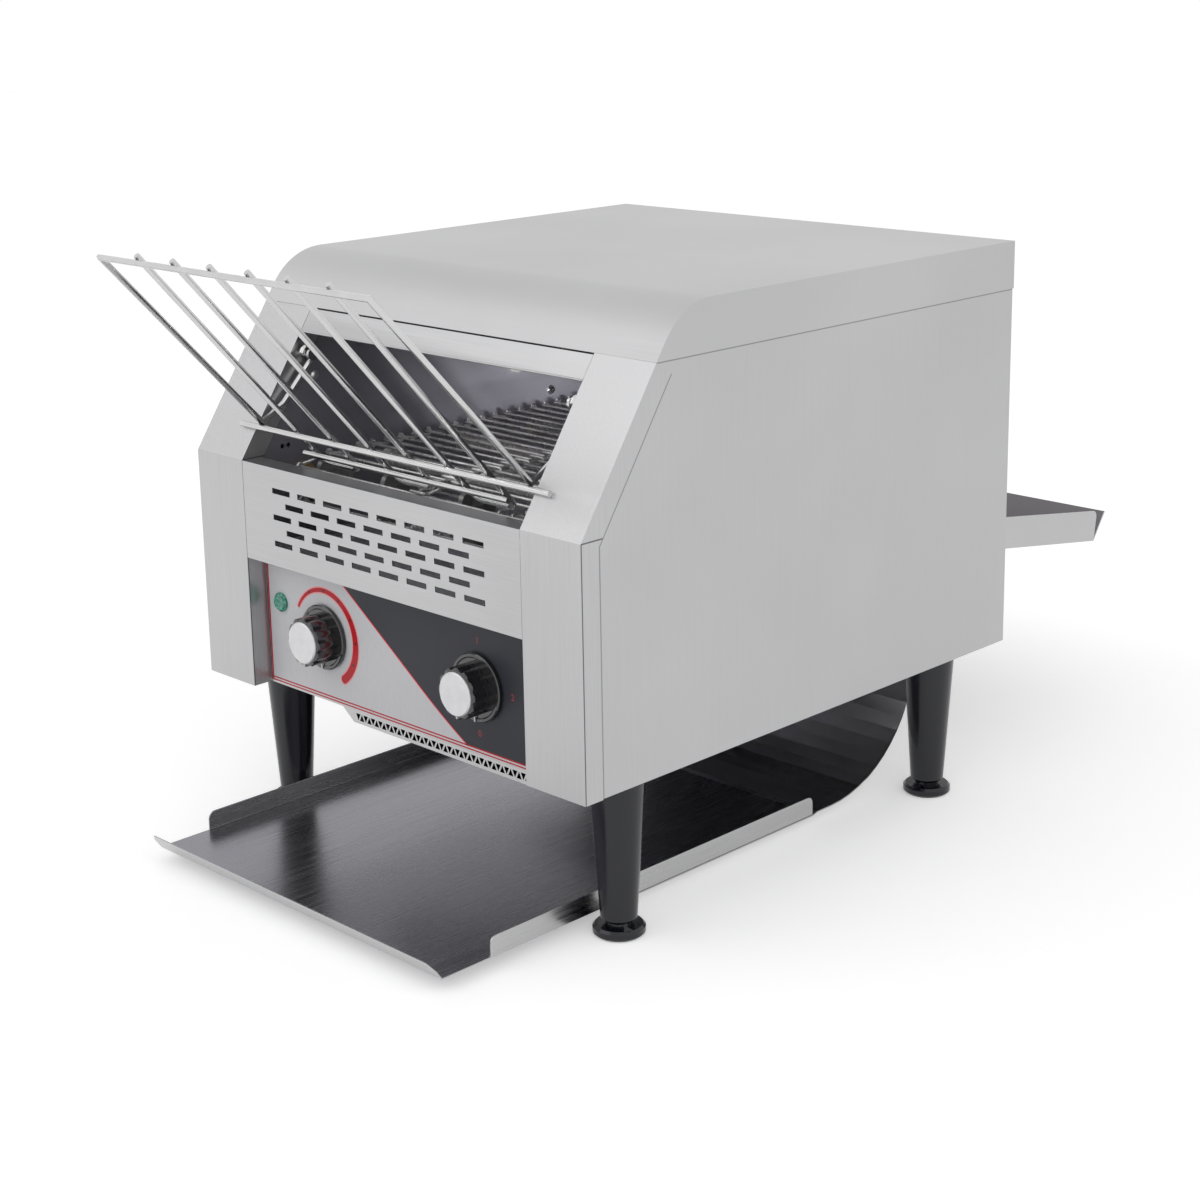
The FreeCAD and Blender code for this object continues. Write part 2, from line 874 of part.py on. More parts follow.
def control_box_cover():
    high_x = mouth_half + sheet - seam
    front = panel_recess + 2 * sheet + seam
    top = box((-high_x, front, control_box_top_z), (high_x, control_box_depth, control_box_top_z + sheet))
    rear = box(
        (-high_x, control_box_depth - sheet, sheet),
        (high_x, control_box_depth, control_box_top_z + sheet),
    )
    return fuse([top, rear])


def intake_guard():
    # A shallow pierced pan below the fan. Its front is a band of triangles.
    front = panel_recess + sheet + seam
    low = -guard_drop

    def pan(inset, y0, y1):
        points = [
            vec(guard_left_x + inset, y0, 0.0),
            vec(guard_left_x + guard_taper + inset, y0, low + inset),
            vec(guard_right_x - inset, y0, low + inset),
            vec(guard_right_x - inset, y0, 0.0),
        ]
        return face_of(points).extrude(vec(0, y1 - y0, 0))

    shell = pan(0.0, front, guard_depth)
    hollow = pan(sheet, front + sheet, guard_depth - sheet)
    shell = shell.cut(hollow)
    span = guard_right_x - guard_left_x - guard_taper - 2 * sheet
    count = int(span / guard_hole_pitch) * 2 - 1
    middle = low / 2
    cuts = []
    for i in range(count):
        x = guard_left_x + guard_taper + guard_hole_pitch * (i + 1) / 2 + sheet
        way = 1 if i % 2 else -1
        half = guard_hole_size / 2
        corners = [
            vec(x - half, front - overrun, middle - way * half),
            vec(x + half, front - overrun, middle - way * half),
            vec(x, front - overrun, middle + way * half),
        ]
        cuts.append(face_of(corners).extrude(vec(0, 2 * overrun, 0)))
    return shell.cut(Part.makeCompound(cuts))


# Belt, shafts and sprockets

def belt_radius():
    return belt_pitch / (2 * math.sin(math.pi / sprocket_teeth))


def belt_rear_y():
    return belt_front_y + belt_span_pitches * belt_pitch


def belt_frames():
    # One (y, z, angle) for each wire, with the angle of the way it travels.
    radius = belt_radius()
    step = 360 / sprocket_teeth
    frames = []
    for i in range(belt_span_pitches):
        frames.append((belt_front_y + i * belt_pitch, belt_axis_z + radius, 0.0))
    for i in range(sprocket_teeth // 2):
        a = math.radians(90 - step * i)
        y = belt_rear_y() + radius * math.cos(a)
        frames.append((y, belt_axis_z + radius * math.sin(a), -step * (i + belt_chord_share)))
    for i in range(belt_span_pitches):
        frames.append((belt_rear_y() - i * belt_pitch, belt_axis_z - radius, 180.0))
    for i in range(sprocket_teeth // 2):
        a = math.radians(270 - step * i)
        y = belt_front_y + radius * math.cos(a)
        angle = 180 - step * (i + belt_chord_share)
        frames.append((y, belt_axis_z + radius * math.sin(a), angle))
    return frames


def belt_link(y, z, angle):
    # One wire: straight across, with a hook at each end and a knuckle in the middle,
    # all of them hooked round the wire in front.
    end = belt_half_width
    hook = end - belt_hook_inset
    base = belt_knuckle_base
    tip = base + belt_hook_inset - seam
    p = belt_pitch
    reach = belt_hook_reach
    lift = belt_hook_lift
    a = math.radians(angle)

    def at(x, along, up):
        dy = along * math.cos(a) - up * math.sin(a)
        dz = along * math.sin(a) + up * math.cos(a)
        return vec(x, y + dy, z + dz)

    half = [
        at(hook, p - reach / 2, lift),
        at(hook, p + reach, lift / 2),
        at(hook, p + reach / 3, -lift),
        at(end, 0.0, 0.0),
        at(base, 0.0, 0.0),
        at(tip, p + reach / 3, -lift),
        at(tip, p + reach, lift / 2),
    ]
    other = [vec(-point.x, point.y, point.z) for point in reversed(half)]
    return facet_wire(half + other, belt_wire_radius, belt_wire_sides)


def conveyor_belt():
    return Part.makeCompound([belt_link(*frame) for frame in belt_frames()])


def sprocket_places():
    return [share * belt_half_width for share in sprocket_places_share]


def sprocket(x, y):
    # A star of shallow teeth, with a pocket for each wire, and its hub.
    radius = belt_radius()
    step = 360 / sprocket_teeth
    tip = radius + sprocket_tip_height
    pocket = belt_wire_radius + sprocket_clearance
    half_pocket = math.degrees(pocket / radius)
    outline = []
    for i in range(sprocket_teeth):
        middle = 90 + i * step
        spots = (
            (radius - pocket, -half_pocket / 2),
            (radius - pocket, half_pocket / 2),
            (radius, half_pocket),
            (tip, step / 2 - half_pocket),
            (tip, step / 2 + half_pocket),
            (radius, step - half_pocket),
        )
        for r, turn in spots:
            a = math.radians(middle + turn)
            outline.append((y + r * math.cos(a), belt_axis_z + r * math.sin(a)))
    low = x - sprocket_thickness / 2
    star = plate_x(outline, low, low + sprocket_thickness)
    hub = facet_rod(vec(x - sprocket_hub_length / 2, y, belt_axis_z), x_axis,
                    sprocket_hub_radius, sprocket_hub_length, bush_sides)
    bore = rod(vec(x - sprocket_hub_length, y, belt_axis_z), x_axis,
               shaft_radius + shaft_clearance, 2 * sprocket_hub_length)
    return fuse([star, hub]).cut(bore)


def sprockets(y):
    return Part.makeCompound([sprocket(x, y) for x in sprocket_places()])


def shaft(y, right_reach):
    left = -mouth_half - 2 * sheet - shaft_end_reach
    right = mouth_half + 2 * sheet + right_reach
    return rod(vec(left, y, belt_axis_z), x_axis, shaft_radius, right - left)


def bush(y):
    inner = mouth_half + sheet
    profile = [
        (0.0, -bush_flange_thickness),
        (bush_flange_radius, -bush_flange_thickness),
        (bush_flange_radius, -seam / 2),
        (bush_radius - seam / 4, -seam / 2),
        (bush_radius - seam / 4, bush_length - bush_flange_thickness),
        (0.0, bush_length - bush_flange_thickness),
    ]
    body = faceted(profile, bush_sides, vec(inner, y, belt_axis_z), x_axis)
    bore = rod(vec(inner - bush_length, y, belt_axis_z), x_axis, shaft_radius + shaft_clearance,
               2 * bush_length)
    return body.cut(bore)


def bushes():
    right = [bush(y) for y in (belt_front_y, belt_rear_y())]
    return Part.makeCompound(right + [mirrored(one) for one in right])


# Chain drive and gear motor

def wheel_radius(teeth):
    return chain_pitch / (2 * math.sin(math.pi / teeth))


def chain_link_count():
    # A chain has an even number of links.
    return 2 * round(chain_length(motor_wished_z) / (2 * chain_pitch))


def motor_z():
    # The motor hangs at the height that draws the chain's whole number of links tight.
    low = 0.0
    high = belt_axis_z
    length = chain_link_count() * chain_pitch
    for _ in range(40):
        middle = (low + high) / 2
        if chain_length(middle) > length:
            low = middle
        else:
            high = middle
    return (low + high) / 2


def chain_angles(z):
    dy = motor_y - belt_front_y
    dz = z - belt_axis_z
    centre = math.hypot(dy, dz)
    lean = math.degrees(math.asin((wheel_radius(wheel_teeth) - wheel_radius(motor_teeth)) / centre))
    return centre, math.degrees(math.atan2(dz, dy)), lean


def chain_length(z):
    centre, _, lean = chain_angles(z)
    straight = centre * math.cos(math.radians(lean))
    big = wheel_radius(wheel_teeth) * math.radians(180 + 2 * lean)
    small = wheel_radius(motor_teeth) * math.radians(180 - 2 * lean)
    return 2 * straight + big + small


def chain_place(run, z):
    # The (y, z) of a point so far along the chain's loop.
    centre, way, lean = chain_angles(z)
    straight = centre * math.cos(math.radians(lean))
    big = wheel_radius(wheel_teeth)
    small = wheel_radius(motor_teeth)
    big_arc = big * math.radians(180 + 2 * lean)
    small_arc = small * math.radians(180 - 2 * lean)
    run = run % (2 * straight + big_arc + small_arc)
    start = math.radians(way + 90 - lean)
    if run < big_arc:
        a = start + run / big
        return belt_front_y + big * math.cos(a), belt_axis_z + big * math.sin(a)
    run -= big_arc
    leave = start + big_arc / big
    if run < straight:
        y = belt_front_y + big * math.cos(leave) - run * math.sin(leave)
        return y, belt_axis_z + big * math.sin(leave) + run * math.cos(leave)
    run -= straight
    if run < small_arc:
        a = leave + run / small
        return motor_y + small * math.cos(a), z + small * math.sin(a)
    run -= small_arc
    a = leave + small_arc / small
    y = motor_y + small * math.cos(a) - run * math.sin(a)
    return y, z + small * math.sin(a) + run * math.cos(a)


def drive_chain():
    z = motor_z()
    count = chain_link_count()
    places = [chain_place(i * chain_pitch, z) for i in range(count)]
    low_x = chain_plane_x - chain_inner_width / 2
    links = []
    for i, (y0, z0) in enumerate(places):
        y1, z1 = places[(i + 1) % count]
        outer = i % 2
        out = chain_plate_thickness * (1 + outer) + seam * outer
        along = vec(0, y1 - y0, z1 - z0).normalize()
        up = x_axis.cross(along)
        end = chain_plate_height / 2
        spots = (
            (-end, -end / 2), (-end / 2, -end), (end / 2 + chain_pitch, -end),
            (end + chain_pitch, -end / 2), (end + chain_pitch, end / 2),
            (end / 2 + chain_pitch, end), (-end / 2, end), (-end, end / 2),
        )
        corners = [vec(0, y0, z0) + along * s + up * h for s, h in spots]
        for x in (low_x - out, low_x + chain_inner_width + out - chain_plate_thickness):
            face = face_of([point + x_axis * x for point in corners])
            links.append(face.extrude(vec(chain_plate_thickness, 0, 0)))
        ring = [vec(low_x, y0 + dy, z0 + dz) for dy, dz in polygon(chain_roller_sides, chain_roller_radius)]
        links.append(face_of(ring).extrude(vec(chain_inner_width, 0, 0)))
    return Part.makeCompound(links)


def chain_wheel(y, z, teeth, bore_radius, hub_left, phase_place):
    # A roller chain wheel with a pocket under every roller of the chain.
    radius = wheel_radius(teeth)
    step = 360 / teeth
    phase = math.degrees(math.atan2(phase_place[1] - z, phase_place[0] - y))
    pocket = chain_roller_radius + chain_clearance
    half_pocket = math.degrees(pocket / radius)
    outline = []
    for i in range(teeth):
        middle = phase + i * step
        spots = (
            (radius - pocket, 0.0),
            (radius - pocket / 2, half_pocket),
            (radius + pocket, step / 2 - half_pocket * tooth_tip_share),
            (radius + pocket, step / 2 + half_pocket * tooth_tip_share),
            (radius - pocket / 2, step - half_pocket),
        )
        for r, turn in spots:
            a = math.radians(middle + turn)
            outline.append((y + r * math.cos(a), z + r * math.sin(a)))
    low = chain_plane_x - wheel_thickness / 2
    disc = plate_x(outline, low, low + wheel_thickness)
    hub = rod(vec(hub_left, y, z), x_axis, bore_radius * 2, low + wheel_thickness - hub_left)
    bore = rod(vec(hub_left - overrun, y, z), x_axis, bore_radius + shaft_clearance,
               4 * overrun + wheel_thickness)
    return fuse([disc, hub]).cut(bore)


def driven_wheel():
    centre = (belt_front_y, belt_axis_z)
    hub_left = mouth_half + sheet + bush_length
    return chain_wheel(*centre, wheel_teeth, shaft_radius, hub_left, chain_place(0.0, motor_z()))


def motor_wheel():
    z = motor_z()
    first = next(
        i for i in range(chain_link_count())
        if math.dist(chain_place(i * chain_pitch, z), (motor_y, z))
        < wheel_radius(motor_teeth) + seam
    )
    hub_left = mouth_half + 3 * sheet
    seat = chain_place(first * chain_pitch, z)
    return chain_wheel(motor_y, z, motor_teeth, motor_shaft_radius, hub_left, seat)


def gearbox_face_x():
    return mouth_half + sheet - seam / 2


def motor_shaft():
    start = gearbox_face_x() - gearbox_depth / 2
    return rod(vec(start, motor_y, motor_z()), x_axis, motor_shaft_radius,
               chain_plane_x + wheel_thickness - start)


def gear_motor():
    z = motor_z()
    high = gearbox_face_x()
    low = high - gearbox_depth
    half = gearbox_width / 2
    case = box((low, motor_y - half, z - half), (high, motor_y + half, z + half))
    case = case.makeFillet(gearbox_corner, [
        e for e in case.Edges if abs(e.tangentAt(e.FirstParameter).x) > along_share
    ])
    can = rod(vec(low - motor_can_length, motor_y, z), x_axis, motor_can_radius, motor_can_length)
    cap = rod(vec(low - motor_can_length - motor_cap_length, motor_y, z), x_axis,
              motor_cap_radius, motor_cap_length)
    bore = rod(vec(high - gearbox_depth / 2 - seam, motor_y, z), x_axis,
               motor_shaft_radius + shaft_clearance, gearbox_depth)
    return fuse([case, can, cap]).cut(bore)


# Heating

def heater_places():
    # Upper tubes under the reflector's level part, lower tubes between the belt's two runs.
    def row(first_y, last_y, z, count):
        return [(first_y + (last_y - first_y) * i / (count - 1), z) for i in range(count)]

    upper = row(
        reflector_low_y + upper_heater_front_margin,
        reflector_rear_y - reflector_rear_room - upper_heater_rear_margin,
        upper_heater_z,
        upper_heater_count,
    )
    lower = row(
        belt_front_y + lower_heater_margin,
        belt_rear_y() - lower_heater_margin,
        belt_axis_z,
        lower_heater_count,
    )
    return upper + lower


def heating_elements():
    high = mouth_half + 2 * sheet + heater_reach
    return Part.makeCompound([
        facet_rod(vec(-high, y, z), x_axis, heater_radius, 2 * high, holder_sides)
        for y, z in heater_places()
    ])


def heater_holders():
    rings = []
    inner = heater_radius + holder_clearance
    for y, z in heater_places():
        profile = [
            (inner, -2 * sheet - seam),
            (holder_radius, -2 * sheet - seam),
            (holder_radius, sheet + seam / 2),
            (holder_flange_radius, sheet + seam / 2),
            (holder_flange_radius, sheet + holder_flange_thickness),
            (inner, sheet + holder_flange_thickness),
        ]
        ring = faceted(profile, holder_sides, vec(mouth_half + sheet, y, z), x_axis)
        rings += [ring, mirrored(ring)]
    return Part.makeCompound(rings)


# Control box contents

def fan_frame():
    low = sheet
    half = fan_size / 2
    frame = box((fan_x - half, fan_y - half, low), (fan_x + half, fan_y + half, low + fan_thickness))
    frame = frame.cut(rod(vec(fan_x, fan_y, low - overrun), z_axis, fan_bore_radius,
                          fan_thickness + 2 * overrun))
    centre = vec(fan_x, fan_y, low)
    hub = rod(centre, z_axis, fan_hub_radius, fan_hub_plate)
    struts = []
    for turn in (45, 135):
        strut = box(
            (fan_x - fan_bore_radius - seam, fan_y - fan_strut_width / 2, low),
            (fan_x + fan_bore_radius + seam, fan_y + fan_strut_width / 2, low + fan_hub_plate / 2),
        )
        strut.rotate(centre, z_axis, turn)
        struts.append(strut)
    bore = rod(vec(fan_x, fan_y, low + sheet), z_axis, spindle_radius / 2 + shaft_clearance,
               fan_hub_plate)
    return fuse([frame, hub] + struts).cut(bore)


def fan_rotor():
    low = sheet + fan_hub_plate + fan_running_gap
    height = fan_thickness - fan_hub_plate - 2 * fan_running_gap
    hub = rod(vec(fan_x, fan_y, low), z_axis, fan_hub_radius, height)
    pin = rod(vec(fan_x, fan_y, 2 * sheet + seam), z_axis, spindle_radius / 2, fan_hub_plate)
    blades = []
    for i in range(fan_blade_count):
        blade = box(
            (fan_hub_radius - sheet, -fan_blade_thickness / 2, -fan_blade_width / 2),
            (fan_blade_radius, fan_blade_thickness / 2, fan_blade_width / 2),
        )
        blade.rotate(vec(0, 0, 0), x_axis, fan_blade_tilt)
        blade.translate(vec(0, 0, low + height / 2))
        blade.rotate(vec(0, 0, 0), z_axis, 360 * i / fan_blade_count)
        blade.translate(vec(fan_x, fan_y, 0))
        blades.append(blade)
    return fuse([hub, pin] + blades)


def terminal_block():
    low = (terminal_x - terminal_width / 2, terminal_y - terminal_length / 2, sheet)
    high = (terminal_x + terminal_width / 2, terminal_y + terminal_length / 2, terminal_height)
    block = box(low, high)
    pitch = terminal_length / terminal_ways
    well = pitch * terminal_well_share
    wells = []
    for i in range(terminal_ways):
        y = low[1] + pitch * (i + 1 / 2)
        for x in (terminal_x - terminal_width / 4, terminal_x + terminal_width / 4):
            place = vec(x, y, terminal_height - well)
            wells.append(facet_rod(place, z_axis, well / 2, 2 * well, terminal_well_sides))
    return block.cut(Part.makeCompound(wells))


def speed_regulator():
    front = panel_recess + sheet
    place = vec(speed_knob_x, front, knob_z)
    can = rod(place, y_axis, regulator_radius, regulator_depth)
    half = regulator_radius
    base = box(
        (speed_knob_x - half, front, side_flange + regulator_gap),
        (speed_knob_x + half, front + regulator_depth / 2, knob_z),
    )
    bore = rod(place - y_axis * overrun, y_axis, spindle_radius + spindle_clearance,
               regulator_depth)
    return fuse([can, base]).cut(bore)


def rotary_switch():
    front = panel_recess + sheet
    half = switch_size / 2
    block = box(
        (power_knob_x - half, front, knob_z - half),
        (power_knob_x + half, front + switch_depth, knob_z + half),
    )
    place = vec(power_knob_x, front - overrun, knob_z)
    bore = rod(place, y_axis, spindle_radius + spindle_clearance, regulator_depth)
    return block.cut(bore)


def pilot_lamp_body():
    place = vec(lamp_x, panel_recess + sheet, lamp_z)
    profile = [
        (0.0, -sheet - label_thickness),
        (lamp_neck_radius, -sheet - label_thickness),
        (lamp_neck_radius, 0.0),
        (lamp_radius, 0.0),
        (lamp_radius, lamp_depth),
        (0.0, lamp_depth),
    ]
    return turned(profile, place, y_axis)


def pilot_lamp_lens():
    place = vec(lamp_x, panel_recess - label_thickness, lamp_z)
    profile = [
        (0.0, 0.0),
        (lamp_radius, 0.0),
        (lamp_radius, lamp_bezel),
        (lamp_radius - lamp_bezel, lamp_bezel * 2),
        (0.0, lamp_bezel * 2),
    ]
    return turned(profile, place, -y_axis)


# Knobs

def knob(x):
    back = panel_recess - label_thickness - knob_gap
    front = back - knob_skirt_thickness
    place = vec(x, back, knob_z)
    skirt = rod(place, -y_axis, knob_skirt_radius, knob_skirt_thickness)
    grip_centre = vec(x, front, knob_z)
    grip = rod(grip_centre, -y_axis, knob_grip_radius, knob_grip_length)
    flutes = []
    for dx, dz in polygon(knob_flute_count, knob_grip_radius + knob_flute_radius / 2):
        start = vec(x + dx, front + seam, knob_z + dz)
        column = [vec(start.x + px, start.y, start.z + pz)
                  for px, pz in polygon(knob_flute_sides, knob_flute_radius)]
        flutes.append(face_of(column).extrude(vec(0, -knob_grip_length - overrun, 0)))
    grip = grip.cut(Part.makeCompound(flutes))
    index = box(
        (x - sheet / 2, front - sheet / 2, knob_z - knob_skirt_radius),
        (x + sheet / 2, front, knob_z - knob_grip_radius),
    )
    bore = rod(place, -y_axis, spindle_radius, knob_skirt_thickness + knob_grip_length / 2)
    return fuse([skirt, grip, index]).cut(bore)


def knob_cap(x):
    front = panel_recess - label_thickness - knob_gap - knob_skirt_thickness - knob_grip_length
    profile = [
        (0.0, 0.0),
        (knob_cap_radius, 0.0),
        (knob_cap_radius, knob_cap_thickness / 2),
        (knob_cap_radius - knob_cap_thickness / 2, knob_cap_thickness),
        (0.0, knob_cap_thickness),
    ]
    return faceted(profile, leg_sides, vec(x, front, knob_z), -y_axis)


def spindle(x):
    back = panel_recess - label_thickness - knob_gap
    front = back - knob_skirt_thickness - knob_grip_length / 2
    length = panel_recess + sheet + regulator_depth / 2 - front
    return rod(vec(x, front, knob_z), y_axis, spindle_radius, length)


# Loading rack

def rack_ways():
    a = math.radians(rack_tilt)
    up = vec(0, -math.cos(a), math.sin(a))
    back = vec(0, math.sin(a), math.cos(a))
    return up, back


def rack_rest():
    # The middle of an outer rod where the long cross wire rests on the slanted faces.
    _, back = rack_ways()
    gap = 2 * rack_wire_radius + rack_weld_gap
    y, z = on_slant(rack_rest_up_slant, -rack_wire_radius - rack_weld_gap)
    wire = vec(0, y, z)
    return wire + back * gap, wire


def rack_frame():
    # One bent wire: hook, arm, outer rod, top wire, and the same again on the other side.
    up, _ = rack_ways()
    rest, _ = rack_rest()
    top = rest + up * rack_rod_length
    pin_y, pin_z = on_slant(rack_pin_up_slant, rack_pin_depth)
    elbow_y, elbow_z = on_slant(rack_elbow_up_slant, rack_elbow_depth)
    ring = rack_pin_radius + rack_loop_gap + rack_wire_radius
    pin = vec(0, pin_y, pin_z)
    elbow = vec(0, elbow_y, elbow_z)
    down = (elbow - pin).normalize()
    side = x_axis.cross(down)
    x = rack_half_width
    loop = [pin + side * ring * math.cos(t) + down * ring * math.sin(t)
            for t in [math.radians(rack_loop_step * i) for i in range(-rack_loop_steps, 1)]]
    points = [p + x_axis * x for p in loop] + [
        elbow + x_axis * x + side * ring / 2,
        vec(x, rest.y, rest.z),
        vec(x, top.y, top.z),
    ]
    other = [vec(-p.x, p.y, p.z) for p in reversed(points)]
    return facet_wire(points + other, rack_wire_radius, rack_wire_sides)


def rack_rods():
    # Three hairpins whose tips stand behind the top wire and whose bends hang inside.
    up, back = rack_ways()
    rest, _ = rack_rest()
    gap = 2 * rack_wire_radius + rack_weld_gap
    tip = rest + up * rack_rod_length + back * gap
    way = (tip - rest).normalize()
    tip = tip + way * rack_tip_length
    foot = rest - way * rack_hairpin_reach
    pitch = 2 * rack_half_width / (rack_rod_count - 1)
    rods = []
    for pair in range(1, rack_rod_count - 1, 2):
        left = x_axis * (pair * pitch - rack_half_width)
        right = left + x_axis * pitch
        line = bent_line([tip + left, foot + left, foot + right, tip + right],
                         rack_bend_radius, rack_bend_steps)
        rods.append(facet_wire(line, rack_wire_radius, rack_wire_sides))
    return rods


def rack_wires():
    # The rods, with the long and the short cross wire that join them.
    up, back = rack_ways()
    rest, wire = rack_rest()
    gap = 2 * rack_wire_radius + rack_weld_gap
    tip = rest + up * rack_rod_length + back * gap
    way = (tip - rest).normalize()
    across = x_axis.cross(way)
    if across.z < 0:
        across = -across
    short = rest - way * rack_short_wire_reach - across * gap
    long_wire = rod(wire - x_axis * rack_long_wire_half, x_axis, rack_wire_radius,
                    2 * rack_long_wire_half)
    short_wire = rod(short - x_axis * rack_short_wire_half, x_axis, rack_wire_radius,
                     2 * rack_short_wire_half)
    return Part.makeCompound(rack_rods() + [long_wire, short_wire])


def rack_pins():
    y, z = on_slant(rack_pin_up_slant, rack_pin_depth)
    inner = mouth_half - rack_pin_reach
    profile = [
        (0.0, -rack_pin_head),
        (rack_pin_head_radius, -rack_pin_head),
        (rack_pin_head_radius, 0.0),
        (rack_pin_radius, 0.0),
        (rack_pin_radius, rack_pin_reach + 2 * sheet + seam),
        (rack_pin_head_radius, rack_pin_reach + 2 * sheet + seam),
        (rack_pin_head_radius, rack_pin_reach + 2 * sheet + rack_pin_head),
        (0.0, rack_pin_reach + 2 * sheet + rack_pin_head),
    ]
    pin = faceted(profile, screw_sides, vec(inner, y, z), x_axis)
    return Part.makeCompound([pin, mirrored(pin)])


# Legs and feet

def leg(x, y):
    top = -seam / 4
    low = foot_thickness + foot_neck_height - leg_height
    profile = [
        (0.0, top),
        (leg_top_radius, top),
        (leg_bottom_radius, low + leg_chamfer),
        (leg_bottom_radius - leg_chamfer, low),
        (0.0, low),
    ]
    body = faceted(profile, leg_sides, vec(x, y, 0), z_axis)
    bolt = facet_rod(vec(x, y, -overrun), z_axis, leg_bolt_radius, overrun + leg_bolt_reach,
                     screw_sides)
    bore = facet_hole(vec(x, y, low - overrun), z_axis, foot_stud_radius + stud_clearance,
                      foot_stud_length + overrun, bush_sides)
    return fuse([body, bolt]).cut(bore)


def foot(x, y):
    low = -leg_height
    disc = low + foot_thickness
    neck = disc + foot_neck_height - seam
    profile = [
        (0.0, low),
        (foot_radius - foot_edge, low),
        (foot_radius, low + foot_edge),
        (foot_radius, disc - foot_edge),
        (foot_radius - foot_edge, disc),
        (foot_neck_radius, disc),
        (foot_neck_radius, neck),
        (0.0, neck),
    ]
    pad = faceted(profile, leg_sides, vec(x, y, 0), z_axis)
    stud = rod(vec(x, y, disc), z_axis, foot_stud_radius,
               foot_neck_height + foot_stud_length - seam)
    return fuse([pad, stud])


def leg_nuts():
    nuts = []
    for x, y in leg_places():
        points = [(x + dx, y + dy) for dx, dy in polygon(hex_sides, leg_nut_radius)]
        low = 2 * sheet
        nut = plate_z(points, low, low + leg_nut_height)
        nuts.append(nut.cut(facet_hole(vec(x, y, 0), z_axis, leg_bolt_radius + shaft_clearance,
                                       2 * leg_nut_height, screw_sides)))
    return Part.makeCompound(nuts)


# Toast chute, toast tray and crumb tray

def chute_line(low):
    # From the front of the support floor, up the step, round the curve to the top.
    centre = (chute_curve_y, tray_top_z + chute_radius)
    step_y = tray_rear_y + seam
    line = [
        (chute_support_front_y, low),
        (step_y, low),
        (step_y + chute_joggle_length, tray_top_z),
        (chute_curve_y, tray_top_z),
    ]
    line += arc_points(centre, chute_radius, -90, chute_angle - 90, chute_steps)[1:]
    line.append((chute_point_at(chute_top_z), chute_top_z))
    return line


def toast_chute():
    low = tray_top_z - sheet - seam
    plate = bent_sheet(chute_line(low), -sheet, -tray_half_width, tray_half_width)
    for side in (-1, 1):
        near = side * chute_inner_half_width
        far = side * (tray_half_width + overrun)
        plate = plate.cut(box(
            (min(near, far), toast_gap_front_y, -sheet),
            (max(near, far), body_depth, chute_top_z + overrun),
        ))
    return plate


def rounded_plate_x(low, high, low_x, high_x):
    # An upright plate with its top corners rounded, between two (y, z) corners.
    y0, z0 = low
    y1, z1 = high
    corner = tray_corner
    steps = tray_corner_steps
    points = [(y1, z0)]
    points += arc_points((y1 - corner, z1 - corner), corner, 0, 90, steps)
    points += arc_points((y0 + corner, z1 - corner), corner, 90, 180, steps)
    points.append((y0, z0))
    return plate_x(points, low_x, high_x)


def toast_tray():
    low = tray_top_z - sheet
    floor = box((-tray_half_width, tray_lip_foot_y, low), (tray_half_width, tray_rear_y, tray_top_z))
    high_z = low + tray_wall_height
    walls = []
    for x in (-tray_half_width, tray_half_width - sheet):
        walls.append(rounded_plate_x((tray_wall_front_y, low), (tray_rear_y, high_z), x, x + sheet))
    lean = tray_lip_lean / tray_lip_height
    top = tray_lip_height
    half = tray_half_width

    def lip_at(x, height):
        return vec(x, tray_lip_foot_y - lean * height, low + height)

    outline = [
        lip_at(-half, 0.0),
        lip_at(half, 0.0),
        lip_at(half, top - tray_corner),
        lip_at(half - tray_corner, top),
        lip_at(tray_corner - half, top),
        lip_at(-half, top - tray_corner),
    ]
    lip = face_of(outline).extrude(vec(0, sheet, 0))
    return fuse([floor, lip] + walls)


def crumb_place(shape):
    # From the tray's own level frame to its place on the slope.
    shape.rotate(vec(0, 0, 0), x_axis, -crumb_slope)
    shape.translate(vec(0, body_depth, crumb_floor_z))
    return shape


def crumb_tray():
    high_x = crumb_half_width
    front = -crumb_inner_length
    rear = crumb_outer_length
    floor = box((-high_x, front, 0.0), (high_x, rear, sheet))
    walls = [
        rounded_plate_x((front, 0.0), (rear, crumb_wall_height), x, x + sheet)
        for x in (-high_x, high_x - sheet)
    ]
    stop = box((-high_x, front, 0.0), (high_x, front + sheet, crumb_stop_height))
    lip = plate_x(
        [
            (rear - sheet, 0.0),
            (rear, 0.0),
            (rear + crumb_lip_lean, crumb_lip_height),
            (rear + crumb_lip_lean - sheet, crumb_lip_height),
        ],
        -high_x,
        high_x,
    )
    return crumb_place(fuse([floor, lip, stop] + walls))


def crumb_runners():
    # Angle runners on the inner walls, below and beside the tray.
    a = math.radians(crumb_slope)
    front = (runner_front_y - body_depth) / math.cos(a)
    rear = -runner_rear_gap
    wall_x = mouth_half + sheet
    side = box((wall_x - sheet, front, -sheet - seam), (wall_x, rear, runner_height))
    shelf = box((wall_x - runner_width, front, -sheet - seam), (wall_x, rear, -seam))
    runner = crumb_place(fuse([side, shelf]))
    return Part.makeCompound([runner, mirrored(runner)])


# Fasteners and gland

def casing_screws():
    # All the same: six in the back panel and two in each inner wall.
    screws = [screw(place, -y_axis) for place in back_screw_places()]
    for y, z in wall_screw_places():
        inner = screw(vec(mouth_half + sheet, y, z), x_axis)
        screws += [inner, mirrored(inner)]
    return Part.makeCompound(screws)


